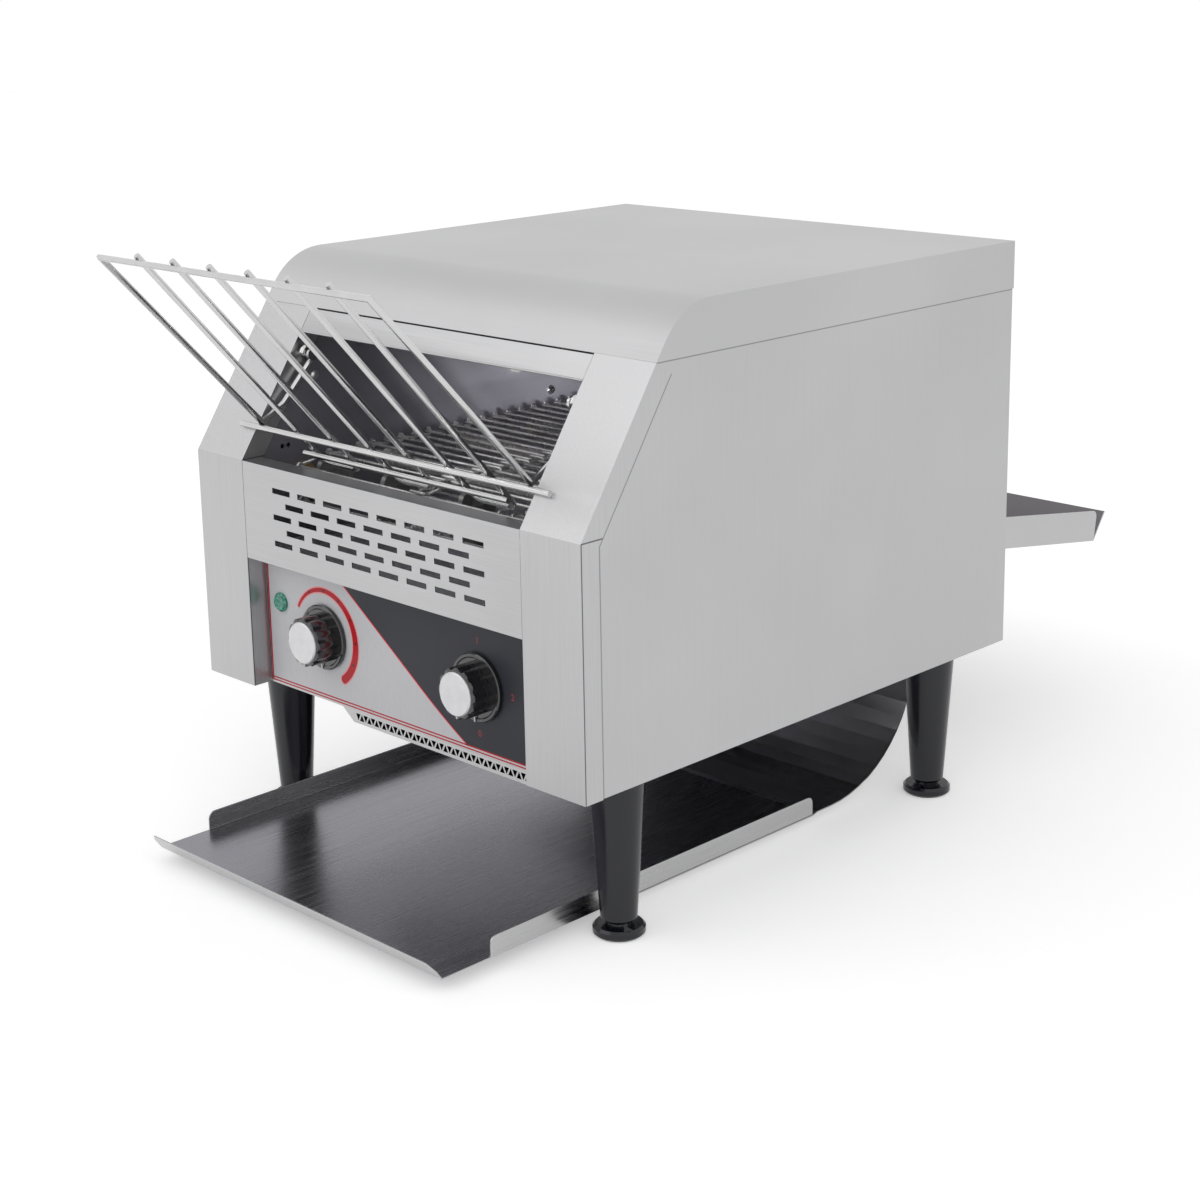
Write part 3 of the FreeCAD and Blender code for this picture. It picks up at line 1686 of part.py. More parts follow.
def cord_gland():
    place = vec(gland_x, body_depth, gland_z)
    hexagon = [vec(gland_x + dx, body_depth + seam / 2, gland_z + dz)
               for dx, dz in polygon(hex_sides, gland_hex_radius)]
    nut = face_of(hexagon).extrude(vec(0, gland_hex_height, 0))
    dome = turned(
        [
            (0.0, 0.0),
            (gland_thread_radius + sheet, 0.0),
            (gland_thread_radius + sheet, gland_dome_length / 2),
            (gland_bore_radius + sheet, gland_dome_length),
            (0.0, gland_dome_length),
        ],
        place + y_axis * gland_hex_height,
        y_axis,
    )
    thread = facet_rod(place - y_axis * gland_dome_length, y_axis, gland_thread_radius,
                       gland_dome_length + gland_hex_height, screw_sides)
    lock = [vec(gland_x + dx, back_y - sheet - seam, gland_z + dz)
            for dx, dz in polygon(hex_sides, gland_hex_radius)]
    lock_nut = face_of(lock).extrude(vec(0, -gland_hex_height / 2, 0))
    bore = rod(place - y_axis * 2 * gland_dome_length, y_axis, gland_bore_radius,
               4 * gland_dome_length)
    return fuse([nut, dome, thread, lock_nut]).cut(bore)


# All the nodes

post = front_post()
panel = side_panel()

nodes = {
    "right_front_post": post,
    "left_front_post": mirrored(post),
    "right_side_panel": panel,
    "left_side_panel": mirrored(panel),
    "hood": hood(),
    "back_panel": back_panel(),
    "bottom_plate": bottom_plate(),
    "crossbar": crossbar(),
    "vent_panel": vent_panel(),
    "control_panel": control_panel(),
    "panel_label": panel_label(),
    "left_inner_wall": mirrored(inner_wall()),
    "right_inner_wall": right_inner_wall(),
    "top_reflector": top_reflector(),
    "control_box_cover": control_box_cover(),
    "intake_guard": intake_guard(),
    "conveyor_belt": conveyor_belt(),
    "drive_shaft": shaft(belt_front_y, chain_plane_x - mouth_half),
    "drive_sprockets": sprockets(belt_front_y),
    "idler_shaft": shaft(belt_rear_y(), shaft_end_reach),
    "idler_sprockets": sprockets(belt_rear_y()),
    "shaft_bushes": bushes(),
    "driven_chain_wheel": driven_wheel(),
    "motor_chain_wheel": motor_wheel(),
    "drive_chain": drive_chain(),
    "gear_motor": gear_motor(),
    "motor_shaft": motor_shaft(),
    "heating_elements": heating_elements(),
    "heater_holders": heater_holders(),
    "fan_frame": fan_frame(),
    "fan_rotor": fan_rotor(),
    "terminal_block": terminal_block(),
    "speed_regulator": speed_regulator(),
    "rotary_switch": rotary_switch(),
    "pilot_lamp_body": pilot_lamp_body(),
    "pilot_lamp_lens": pilot_lamp_lens(),
    "speed_knob": knob(speed_knob_x),
    "speed_knob_cap": knob_cap(speed_knob_x),
    "speed_spindle": spindle(speed_knob_x),
    "power_knob": knob(power_knob_x),
    "power_knob_cap": knob_cap(power_knob_x),
    "power_spindle": spindle(power_knob_x),
    "rack_frame": rack_frame(),
    "rack_wires": rack_wires(),
    "rack_pins": rack_pins(),
    "toast_chute": toast_chute(),
    "toast_tray": toast_tray(),
    "crumb_tray": crumb_tray(),
    "crumb_runners": crumb_runners(),
    "leg_nuts": leg_nuts(),
    "casing_screws": casing_screws(),
    "cord_gland": cord_gland(),
}
corner_names = ("front_left", "rear_left", "front_right", "rear_right")
for name, (x, y) in zip(corner_names, leg_places()):
    nodes["leg_" + name] = leg(x, y)
    nodes["foot_" + name] = foot(x, y)

# The stored origin: under the middle of the whole part, on the surface that it stands on.
front_y = min(shape.BoundBox.YMin for shape in nodes.values())
rear_y = max(shape.BoundBox.YMax for shape in nodes.values())
shift = vec(0, -(front_y + rear_y) / 2, leg_height)
print("shift", shift.y, shift.z, "motor", motor_z(), "chute top", chute_point_at(chute_top_z))

os.makedirs("parts", exist_ok=True)
for name, shape in nodes.items():
    shape.translate(shift)
    shape.exportStep("parts/" + name + ".step")
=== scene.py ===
import json
import math

import bmesh
import bpy
from mathutils import Matrix, Vector


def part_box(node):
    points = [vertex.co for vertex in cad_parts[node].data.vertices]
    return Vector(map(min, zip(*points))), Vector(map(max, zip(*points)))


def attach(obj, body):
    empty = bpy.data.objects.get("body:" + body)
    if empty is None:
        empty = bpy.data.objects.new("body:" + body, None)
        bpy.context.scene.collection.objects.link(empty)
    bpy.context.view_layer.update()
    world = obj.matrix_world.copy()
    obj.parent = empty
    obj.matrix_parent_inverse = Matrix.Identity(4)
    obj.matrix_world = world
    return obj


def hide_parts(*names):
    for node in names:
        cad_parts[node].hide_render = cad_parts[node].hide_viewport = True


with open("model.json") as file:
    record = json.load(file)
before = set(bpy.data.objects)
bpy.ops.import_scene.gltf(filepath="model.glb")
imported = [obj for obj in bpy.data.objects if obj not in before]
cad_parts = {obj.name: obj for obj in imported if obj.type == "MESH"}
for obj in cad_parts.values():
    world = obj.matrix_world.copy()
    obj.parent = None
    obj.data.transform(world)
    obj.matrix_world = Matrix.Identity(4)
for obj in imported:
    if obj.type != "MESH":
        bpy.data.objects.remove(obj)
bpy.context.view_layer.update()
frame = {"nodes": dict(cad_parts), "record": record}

# Sizes are in millimetres, as in the part, and become metres in place() and metres().
# The part's own origin is on the front face and the underside of the body.
MM = 0.001
front_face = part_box("left_front_post")[0].y
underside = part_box("left_front_post")[0].z
label_low, label_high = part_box("panel_label")
label_face = (label_low.y - front_face) / MM


def metres(length):
    return length * MM


def place(x, y, z):
    return Vector((metres(x), front_face + metres(y), underside + metres(z)))


def axis_of(node):
    # The middle of a shaft or a knob, in the part's own millimetres.
    low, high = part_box(node)
    middle = (low + high) / 2
    return middle.x / MM, (middle.y - front_face) / MM, (middle.z - underside) / MM


# Camera: the photograph's viewing angle
image_side = 1200
camera_place = (1027.64, -825.8, 482.24)
camera_azimuth = 45.05
camera_elevation = 13.71
camera_roll = -1.02
focal_pixels = 2184.9
horizon_row = 480
sensor_width = 36.0


def make_camera():
    data = bpy.data.cameras.new("camera")
    data.sensor_width = sensor_width
    data.lens = focal_pixels / image_side * sensor_width
    data.shift_y = horizon_row / image_side - 0.5
    camera = bpy.data.objects.new("camera", data)
    a = math.radians(camera_azimuth)
    e = math.radians(camera_elevation)
    back = Vector((math.sin(a) * math.cos(e), -math.cos(a) * math.cos(e), math.sin(e)))
    right = Vector((math.cos(a), math.sin(a), 0))
    up = back.cross(right)
    turn = Matrix((right, up, back)).transposed()
    turn = turn @ Matrix.Rotation(math.radians(camera_roll), 3, "Z")
    camera.matrix_world = Matrix.Translation(place(*camera_place)) @ turn.to_4x4()
    bpy.context.scene.collection.objects.link(camera)
    bpy.context.scene.camera = camera


# Materials
class Looks:
    # A Principled material with its node tree, and short ways to add nodes to it.
    def __init__(self, name, metallic, roughness):
        self.material = bpy.data.materials.new(name)
        self.material.use_nodes = True
        self.tree = self.material.node_tree
        self.shader = self.tree.nodes["Principled BSDF"]
        self.shader.inputs["Metallic"].default_value = metallic
        self.shader.inputs["Roughness"].default_value = roughness
        self.where = self.tree.nodes.new("ShaderNodeTexCoord").outputs["Object"]

    def join(self, source, target):
        self.tree.links.new(source, target)

    def noise(self, scale, stretch=(1, 1, 1), detail=4, roughness=0.55):
        # Noise over the object's own coordinates, with stretch larger along short grain.
        mapping = self.tree.nodes.new("ShaderNodeMapping")
        mapping.inputs["Scale"].default_value = stretch
        self.join(self.where, mapping.inputs["Vector"])
        noise = self.tree.nodes.new("ShaderNodeTexNoise")
        noise.inputs["Scale"].default_value = scale
        noise.inputs["Detail"].default_value = detail
        noise.inputs["Roughness"].default_value = roughness
        self.join(mapping.outputs["Vector"], noise.inputs["Vector"])
        return noise.outputs["Fac"]

    def spread(self, source, low, high, start=0.35, end=0.65):
        # A number from low to high as the source goes from start to end.
        node = self.tree.nodes.new("ShaderNodeMapRange")
        node.inputs["From Min"].default_value = start
        node.inputs["From Max"].default_value = end
        node.inputs["To Min"].default_value = low
        node.inputs["To Max"].default_value = high
        self.join(source, node.inputs["Value"])
        return node.outputs["Result"]

    def colours(self, source, stops):
        # A colour ramp over the source.
        ramp = self.tree.nodes.new("ShaderNodeValToRGB")
        elements = ramp.color_ramp.elements
        while len(elements) < len(stops):
            elements.new(1.0)
        for element, (where, colour) in zip(elements, stops):
            element.position = where
            element.color = (*colour, 1)
        self.join(source, ramp.inputs["Fac"])
        return ramp.outputs["Color"]

    def multiply(self, first, second, share=1.0):
        mix = self.tree.nodes.new("ShaderNodeMix")
        mix.data_type = "RGBA"
        mix.blend_type = "MULTIPLY"
        mix.inputs["Factor"].default_value = share
        self.join(first, mix.inputs[6])
        self.join(second, mix.inputs[7])
        return mix.outputs[2]

    def base(self, source):
        self.join(source, self.shader.inputs["Base Color"])

    def rough(self, source):
        self.join(source, self.shader.inputs["Roughness"])

    def bump(self, source, strength, distance):
        node = self.tree.nodes.new("ShaderNodeBump")
        node.inputs["Strength"].default_value = strength
        node.inputs["Distance"].default_value = metres(distance)
        self.join(source, node.inputs["Height"])
        self.join(node.outputs["Normal"], self.shader.inputs["Normal"])

    def amount(self, operation, first, second):
        # A sum over two numbers or node outputs.
        node = self.tree.nodes.new("ShaderNodeMath")
        node.operation = operation
        for value, target in zip((first, second), node.inputs):
            if isinstance(value, (int, float)):
                target.default_value = value
            else:
                self.join(value, target)
        return node.outputs[0]

    def parts_of(self, source):
        node = self.tree.nodes.new("ShaderNodeSeparateXYZ")
        self.join(source, node.inputs[0])
        return node.outputs[0], node.outputs[1], node.outputs[2]


def shade(colour, factor):
    return tuple(channel * factor for channel in colour)


brush_fineness = 34.0
brush_stretch = 0.5
brush_relief = 0.05
brush_strength = 0.12


def brushed(name, colour, roughness, grain, depth=0.05, cloud=0.05, metallic=1.0,
            strength=brush_strength, painted_shades=()):
    # Steel with fine brush lines along the grain axis and a faint cloudiness, with any painted shade
    # multiplied over it.
    looks = Looks(name, metallic, roughness)
    fine = [brush_fineness] * 3
    fine["xyz".index(grain)] = brush_stretch
    lines = looks.noise(28, fine, detail=3)
    clouds = looks.noise(7, detail=2)
    streaks = looks.colours(lines, [(0.3, shade(colour, 1 - depth)), (0.7, shade(colour, 1 + depth))])
    fog = looks.colours(clouds, [(0.35, (1 - cloud,) * 3), (0.65, (1.0,) * 3)])
    surface = looks.multiply(streaks, fog)
    # Painted shade and painted shadow lines darken the colour here.
    for shade_layer in painted_shades:
        surface = looks.multiply(surface, shade_layer(looks))
    looks.base(surface)
    looks.rough(looks.spread(lines, roughness - 0.04, roughness + 0.05))
    looks.bump(lines, strength, brush_relief)
    return looks.material


# Painted shade along the casing's folds, laps and hood edge, drawn as fine dark lines
strip_depth = 14.5
corner_line = 0.9
lap_line = 1.9
lap_top = 86.0
hood_low = 94.4
hood_line = 1.0
bend_line = 0.45
slant_angle = math.radians(56.07)
slant_start = 157.0
fold_shade_colour = (0.3,) * 3
lap_shade = (0.58,) * 3
unshaded = (1.0,) * 3

# Painted shade, light and reflection on the insides
wall_dark_y = 60.0
wall_bright_y = 290.0
wall_shades = ((0.0, (0.24,) * 3), (0.45, (0.36,) * 3), (1.0, unshaded))
tray_skin = 0.5
crumb_inner_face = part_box("crumb_tray")[1].x - metres(tray_skin)
crumb_shade_colour = (0.3, 0.285, 0.3)
tray_floor_reflection_colour = (0.46, 0.455, 0.5)


def front_depths(looks):
    # How far a point lies behind the upright front and behind the slanted one.
    _, y, z = looks.parts_of(looks.where)
    upright = looks.amount("SUBTRACT", y, front_face)
    rise = looks.amount("SUBTRACT", z, underside + metres(slant_start))
    across = looks.amount("MULTIPLY", upright, math.sin(slant_angle))
    down = looks.amount("MULTIPLY", rise, math.cos(slant_angle))
    return upright, looks.amount("SUBTRACT", across, down), rise


def painted_fold_shade(looks):
    # Painted shade: a dark line along the upright corner of a post, on its outer side, and along its bend
    # into the slant.
    upright, _, rise = front_depths(looks)
    geometry = looks.tree.nodes.new("ShaderNodeNewGeometry")
    facing, _, _ = looks.parts_of(geometry.outputs["Normal"])
    sideways = looks.amount("GREATER_THAN", looks.amount("ABSOLUTE", facing, 0.0), 0.6)
    near = looks.amount("LESS_THAN", upright, metres(corner_line))
    below = looks.amount("LESS_THAN", rise, 0.0)
    line = looks.amount("MULTIPLY", near, below)
    bend = looks.amount("LESS_THAN", looks.amount("ABSOLUTE", rise, 0.0), metres(bend_line))
    line = looks.amount("MULTIPLY", sideways, looks.amount("MAXIMUM", line, bend))
    return looks.colours(line, [(0.0, unshaded), (1.0, fold_shade_colour)])


def painted_lap_shadow(looks):
    # Painted shadow: a dark line on a side panel just behind the post's folded strip, and one just under
    # the hood's edge.
    upright, slanted, rise = front_depths(looks)
    depth = looks.amount("MINIMUM", upright, slanted)
    near = looks.amount("LESS_THAN", depth, metres(strip_depth + lap_line))
    line = looks.amount("MULTIPLY", near, looks.amount("LESS_THAN", rise, metres(lap_top)))
    under_hood = looks.amount("GREATER_THAN", rise, metres(hood_low - hood_line))
    line = looks.amount("MAXIMUM", line, under_hood)
    return looks.colours(line, [(0.0, unshaded), (1.0, lap_shade)])


def inner_wall_painted_shade(looks):
    # Painted shade and light: the inner walls are darkest near the mouth and brighter towards the back.
    _, y, _ = looks.parts_of(looks.where)
    depth = looks.amount("SUBTRACT", y, front_face)
    share = looks.spread(depth, 0.0, 1.0, metres(wall_dark_y), metres(wall_bright_y))
    return looks.colours(share, wall_shades)


def crumb_tray_painted_shade(looks):
    # Painted shade and dark reflection inside the crumb tray.
    x, _, _ = looks.parts_of(looks.where)
    inside = looks.amount("LESS_THAN", looks.amount("ABSOLUTE", x, 0.0), crumb_inner_face)
    return looks.colours(inside, [(0.0, unshaded), (1.0, crumb_shade_colour)])


def tray_floor_painted_reflection(looks):
    # Painted dark reflection on the toast tray's floor; its walls stay bright.
    geometry = looks.tree.nodes.new("ShaderNodeNewGeometry")
    _, _, facing = looks.parts_of(geometry.outputs["Normal"])
    level = looks.amount("GREATER_THAN", looks.amount("ABSOLUTE", facing, 0.0), 0.9)
    return looks.colours(level, [(0.0, unshaded), (1.0, tray_floor_reflection_colour)])


def plain_metal(name, colour, roughness, depth=0.06, scale=60):
    looks = Looks(name, 1.0, roughness)
    spots = looks.noise(scale, detail=3)
    stops = [(0.35, shade(colour, 1 - depth)), (0.65, shade(colour, 1 + depth))]
    looks.base(looks.colours(spots, stops))
    looks.rough(looks.spread(spots, roughness - 0.03, roughness + 0.06))
    return looks.material


def plastic(name, colour, roughness, grain_depth=0.02, scale=900, coat=0.0):
    looks = Looks(name, 0.0, roughness)
    looks.shader.inputs["Coat Weight"].default_value = coat
    grain = looks.noise(scale, detail=2)
    looks.base(looks.colours(grain, [(0.35, shade(colour, 0.85)), (0.65, shade(colour, 1.15))]))
    looks.rough(looks.spread(grain, roughness - 0.03, roughness + 0.05))
    looks.bump(grain, 0.1, grain_depth)
    return looks.material


def spun_silver():
    # The knobs' bright caps, softly clouded.
    looks = Looks("spun_silver", 0.6, 0.42)
    rings = looks.noise(160, detail=2)
    looks.base(looks.colours(rings, [(0.3, (0.66, 0.66, 0.67)), (0.7, (0.74, 0.74, 0.75))]))
    looks.rough(looks.spread(rings, 0.38, 0.48))
    return looks.material


def heated_steel():
    # The belt's wire, darkened and slightly straw coloured by heat.
    looks = Looks("heated_wire", 0.6, 0.27)
    patches = looks.noise(45, detail=4)
    looks.base(looks.colours(patches, [
        (0.3, (0.5, 0.495, 0.5)), (0.55, (0.72, 0.71, 0.705)), (0.75, (0.88, 0.875, 0.87))]))
    looks.rough(looks.spread(patches, 0.2, 0.36))
    return looks.material


def quartz():
    looks = Looks("frosted_quartz", 0.0, 0.22)
    frost = looks.noise(240, detail=2)
    looks.base(looks.colours(frost, [(0.3, (0.74, 0.71, 0.68)), (0.7, (0.86, 0.83, 0.8))]))
    looks.rough(looks.spread(frost, 0.16, 0.3))
    looks.shader.inputs["Transmission Weight"].default_value = 0.35
    return looks.material


def lamp_green():
    # A tinted lens with a pattern of small cells that catch the light.
    looks = Looks("lamp_green", 0.0, 0.12)
    cells = looks.tree.nodes.new("ShaderNodeTexVoronoi")
    cells.inputs["Scale"].default_value = 420
    looks.join(looks.where, cells.inputs["Vector"])
    looks.base(looks.colours(cells.outputs["Distance"], [
        (0.05, (0.10, 0.55, 0.38)), (0.5, (0.015, 0.26, 0.17)), (0.9, (0.005, 0.12, 0.08))]))
    looks.bump(cells.outputs["Distance"], 0.5, 0.3)
    looks.shader.inputs["Coat Weight"].default_value = 0.6
    return looks.material


def film(name, colour, roughness=0.38, depth=0.03):
    # Printed film: even ink with a very fine grain.
    looks = Looks(name, 0.0, roughness)
    grain = looks.noise(1500, (1, 1, 0.15), detail=2)
    looks.base(looks.colours(grain, [(0.3, shade(colour, 1 - depth)), (0.7, shade(colour, 1 + depth))]))
    looks.rough(looks.spread(grain, roughness - 0.03, roughness + 0.04))
    looks.shader.inputs["Specular IOR Level"].default_value = 0.25
    return looks.material


steel_colour = (0.5, 0.5, 0.507)
finishes = {
    "casing_steel": brushed("satin_steel_upright", steel_colour, 0.34, "z"),
    "tray_steel": brushed("tray_steel", (0.5, 0.5, 0.505), 0.2, "y", depth=0.03),
    "inner_steel": brushed("inner_steel", (0.56, 0.56, 0.6), 0.46, "y", depth=0.04, metallic=0.5),
    "belt_wire": heated_steel(),
    "rack_chrome": plain_metal("rack_chrome", (0.6, 0.6, 0.6), 0.17, depth=0.03),
    "bright_steel": plain_metal("bright_steel", (0.6, 0.6, 0.6), 0.28),
    "drive_steel": plain_metal("drive_steel", (0.34, 0.335, 0.33), 0.34, depth=0.1),
    "bush_brass": plain_metal("bush_brass", (0.68, 0.5, 0.26), 0.32),
    "motor_paint": plastic("motor_paint", (0.09, 0.095, 0.105), 0.42),
    "quartz": quartz(),
    "holder_ceramic": plastic("holder_ceramic", (0.78, 0.76, 0.7), 0.6),
    "black_plastic": plastic("black_plastic", (0.03, 0.03, 0.033), 0.48),
    "lamp_lens": lamp_green(),
    "label_film": film("label_silver", (0.64, 0.64, 0.665)),
    "knob_plastic": plastic("knob_plastic", (0.012, 0.012, 0.014), 0.14, grain_depth=0.005, coat=0.8),
    "knob_silver": spun_silver(),
    "leg_plastic": plastic("leg_plastic", (0.007, 0.0075, 0.013), 0.2, grain_depth=0.01),
}
cross_steel = brushed("satin_steel_across", steel_colour, 0.34, "x")
hood_steel = brushed("satin_steel_hood", (0.53, 0.53, 0.537), 0.48, "x", depth=0.03)
label_dark = film("label_charcoal", (0.036, 0.037, 0.047), 0.4)
label_red = film("label_red", (0.52, 0.012, 0.02))
label_pink = film("label_pink", (0.9, 0.36, 0.38))
label_ink = film("label_ink", (0.05, 0.03, 0.03))
mark_white = film("mark_white", (0.85, 0.85, 0.85))
mark_red = film("mark_red", (0.42, 0.05, 0.06))

# These steels carry painted shade: dark lines on the posts' folds, painted shadow on the side panels,
# painted shade and light on the inner walls, painted dark reflection on the toast tray's floor and painted
# shade inside the crumb tray.
post_steel = brushed("satin_steel_post", steel_colour, 0.34, "z", painted_shades=(painted_fold_shade,))
side_steel = brushed("satin_steel_side", steel_colour, 0.34, "z", depth=0.025, painted_shades=(painted_lap_shadow,))
wall_steel = brushed(
    "inner_wall_steel", (0.72, 0.7, 0.8), 0.5, "y", depth=0.03, metallic=0.25, painted_shades=(inner_wall_painted_shade,))
toast_tray_steel = brushed(
    "toast_tray_steel", (0.5, 0.5, 0.505), 0.24, "y", depth=0.03, strength=0.02, painted_shades=(tray_floor_painted_reflection,))
crumb_steel = brushed("crumb_tray_steel", (0.5, 0.5, 0.507), 0.34, "y", depth=0.03, painted_shades=(crumb_tray_painted_shade,))

own_finish = {
    "left_front_post": post_steel,
    "right_front_post": post_steel,
    "left_side_panel": side_steel,
    "right_side_panel": side_steel,
    "left_inner_wall": wall_steel,
    "right_inner_wall": wall_steel,
    "crumb_tray": crumb_steel,
    "toast_tray": toast_tray_steel,
    "hood": hood_steel,
    "vent_panel": cross_steel,
    "crossbar": cross_steel,
    "back_panel": cross_steel,
}


def slot_of(node):
    return frame["nodes"][node].material_slots[0].material.name.split(".")[0]


node_slots = {node: slot_of(node) for node in frame["nodes"]}


def dress_nodes():
    for node, item in frame["nodes"].items():
        material = own_finish.get(node, finishes[node_slots[node]])
        for entry in item.material_slots:
            entry.material = material


# Pieces
def show(name, mesh, material, body):
    piece = bpy.data.objects.new(name, mesh)
    mesh.materials.clear()
    mesh.materials.append(material)
    bpy.context.scene.collection.objects.link(piece)
    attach(piece, body)
    return piece


def body_with(node):
    for body, members in frame["record"]["behaviour"]["bodies"].items():
        if node in members:
            return body


weld_distance = 0.002
flat_angle = math.radians(0.4)
sharp_angle = math.radians(28)
wire_angle = math.radians(50)


def clean_copy(node, angle=sharp_angle):
    # The node's surface with its flat faces joined up, ready for rounded edges.
    mesh = frame["nodes"][node].data.copy()
    work = bmesh.new()
    work.from_mesh(mesh)
    bmesh.ops.remove_doubles(work, verts=work.verts, dist=metres(weld_distance))
    bmesh.ops.dissolve_limit(work, angle_limit=flat_angle, verts=work.verts, edges=work.edges)
    work.to_mesh(mesh)
    work.free()
    for face in mesh.polygons:
        face.use_smooth = True
    mesh.set_sharp_from_angle(angle=angle)
    return mesh


def formed(node, edge):
    # The same piece with its folds and cut edges rounded off.
    material = own_finish.get(node, finishes[node_slots[node]])
    piece = show(node + "_formed", clean_copy(node), material, body_with(node))
    bevel = piece.modifiers.new("edges", "BEVEL")
    bevel.width = metres(edge)
    bevel.segments = 2
    bevel.limit_method = "ANGLE"
    bevel.angle_limit = sharp_angle
    bevel.harden_normals = True
    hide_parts(node)
    return piece


def smoothed(node, angle):
    # The same piece with smooth light over its round faces.
    material = own_finish.get(node, finishes[node_slots[node]])
    piece = show(node + "_smooth", clean_copy(node, angle), material, body_with(node))
    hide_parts(node)
    return piece


sheet_edge = 0.35
slot_edge = 0.2
formed_nodes = {
    "left_front_post": sheet_edge,
    "right_front_post": sheet_edge,
    "left_side_panel": sheet_edge,
    "right_side_panel": sheet_edge,
    "hood": sheet_edge,
    "crossbar": sheet_edge,
    "vent_panel": slot_edge,
    "toast_tray": sheet_edge,
    "crumb_tray": sheet_edge,
}

smoothed_nodes = {
    "rack_wires": wire_angle,
    "rack_frame": wire_angle,
    "rack_pins": wire_angle,
    "casing_screws": wire_angle,
    "heating_elements": wire_angle,
    "heater_holders": wire_angle,
    "shaft_bushes": wire_angle,
    "drive_sprockets": sharp_angle,
    "idler_sprockets": sharp_angle,
    "cord_gland": wire_angle,
    "speed_knob_cap": sharp_angle,
    "power_knob_cap": sharp_angle,
}
corners = ("front_left", "front_right", "rear_left", "rear_right")
smoothed_nodes.update({f"leg_{corner}": sharp_angle for corner in corners})
smoothed_nodes.update({f"foot_{corner}": sharp_angle for corner in corners})


# The belt's round wires
belt_pitch_count = 23
sprocket_teeth = 8
wire_radius = 1.0
hook_reach = 2.3
hook_lift = 2.5
hook_inset = 3.5
hook_crest_share = 0.7
hook_crest_lift = 0.85 * hook_lift
knuckle_base = 3.5
knuckle_gap = 0.5
belt_end_gap = 0.15
corner_round = 1.3
corner_share = 0.4


def belt_stations():
    # One (y, z, angle) for each wire round the two sprocket axes.
    _, front_y, axis_z = axis_of("drive_shaft")
    _, rear_y, _ = axis_of("idler_shaft")
    pitch = (rear_y - front_y) / belt_pitch_count
    radius = pitch / (2 * math.sin(math.pi / sprocket_teeth))
    step = 360 / sprocket_teeth
    stations = []
    for i in range(belt_pitch_count):
        stations.append((front_y + i * pitch, axis_z + radius, 0.0))
    for i in range(sprocket_teeth // 2):
        a = math.radians(90 - step * i)
        tilt = -step * (i + 0.5)
        stations.append((rear_y + radius * math.cos(a), axis_z + radius * math.sin(a), tilt))
    for i in range(belt_pitch_count):
        stations.append((rear_y - i * pitch, axis_z - radius, 180.0))
    for i in range(sprocket_teeth // 2):
        a = math.radians(270 - step * i)
        tilt = 180 - step * (i + 0.5)
        stations.append((front_y + radius * math.cos(a), axis_z + radius * math.sin(a), tilt))
    return pitch, stations


def belt_wire_points(pitch, y, z, angle, end):
    # One wire, hooked round the wire in front of it at its ends and in its middle.
    a = math.radians(angle)

    def at(x, along, up):
        dy = along * math.cos(a) - up * math.sin(a)
        dz = along * math.sin(a) + up * math.cos(a)
        return Vector((x, y + dy, z + dz))

    hook = end - hook_inset
    tip = knuckle_base + hook_inset - knuckle_gap
    half = [
        at(hook, pitch - hook_reach / 2, hook_lift),
        at(hook, pitch + hook_reach * hook_crest_share, hook_crest_lift),
        at(hook, pitch + hook_reach, 0.0),
        at(hook, pitch + hook_reach / 3, -hook_lift),
        at(end, 0.0, 0.0),
        at(knuckle_base, 0.0, 0.0),
        at(tip, pitch + hook_reach / 3, -hook_lift),
        at(tip, pitch + hook_reach, 0.0),
        at(tip, pitch + hook_reach * hook_crest_share, hook_crest_lift),
    ]
    other = [Vector((-p.x, p.y, p.z)) for p in reversed(half)]
    return half + other


def round_corners(points, size):
    # Each corner becomes three points of a short arc.
    line = [points[0]]
    for before, corner, after in zip(points, points[1:], points[2:]):
        back = before - corner
        on = after - corner
        reach = min(size, back.length * corner_share, on.length * corner_share)
        first = corner + back.normalized() * reach
        last = corner + on.normalized() * reach
        line += [first, (first + last) / 4 + corner / 2, last]
    return line + [points[-1]]


def wire_curve(name, lines, radius, sides=2):
    curve = bpy.data.curves.new(name, "CURVE")
    curve.dimensions = "3D"
    curve.bevel_depth = metres(radius)
    curve.bevel_resolution = sides
    curve.use_fill_caps = True
    for line in lines:
        spline = curve.splines.new("POLY")
        spline.points.add(len(line) - 1)
        for point, spot in zip(spline.points, line):
            point.co = (*place(*spot), 1)
    return curve


def conveyor_belt():
    low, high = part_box("conveyor_belt")
    end = (high.x - low.x) / 2 / MM - wire_radius - belt_end_gap
    pitch, stations = belt_stations()
    lines = [round_corners(belt_wire_points(pitch, *station, end), corner_round) for station in stations]
    curve = wire_curve("conveyor_belt_wires", lines, wire_radius)
    body = body_with("conveyor_belt")
    belt = show("conveyor_belt_wires", curve, finishes["belt_wire"], body)
    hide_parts("conveyor_belt")


# The control label: thin printed shapes on its face
ink = 0.04
label_left = label_low.x / MM
label_right = label_high.x / MM
label_bottom = (label_low.z - underside) / MM
label_top = (label_high.z - underside) / MM


def print_shape(name, outline, material, layer, body="housing", face=None):
    # A closed outline of (x, z) points as a thin slab on the label's face.
    face = label_face if face is None else face
    front = face - ink * layer
    work = bmesh.new()
    ring = [work.verts.new(place(x, front, z)) for x, z in outline]
    cap = work.faces.new(ring)
    made = bmesh.ops.extrude_face_region(work, geom=[cap])
    moved = [item for item in made["geom"] if isinstance(item, bmesh.types.BMVert)]
    bmesh.ops.translate(work, verts=moved, vec=(0, metres(ink * layer + ink / 2), 0))
    bmesh.ops.recalc_face_normals(work, faces=work.faces)
    mesh = bpy.data.meshes.new(name)
    work.to_mesh(mesh)
    work.free()
    return show(name, mesh, material, body)


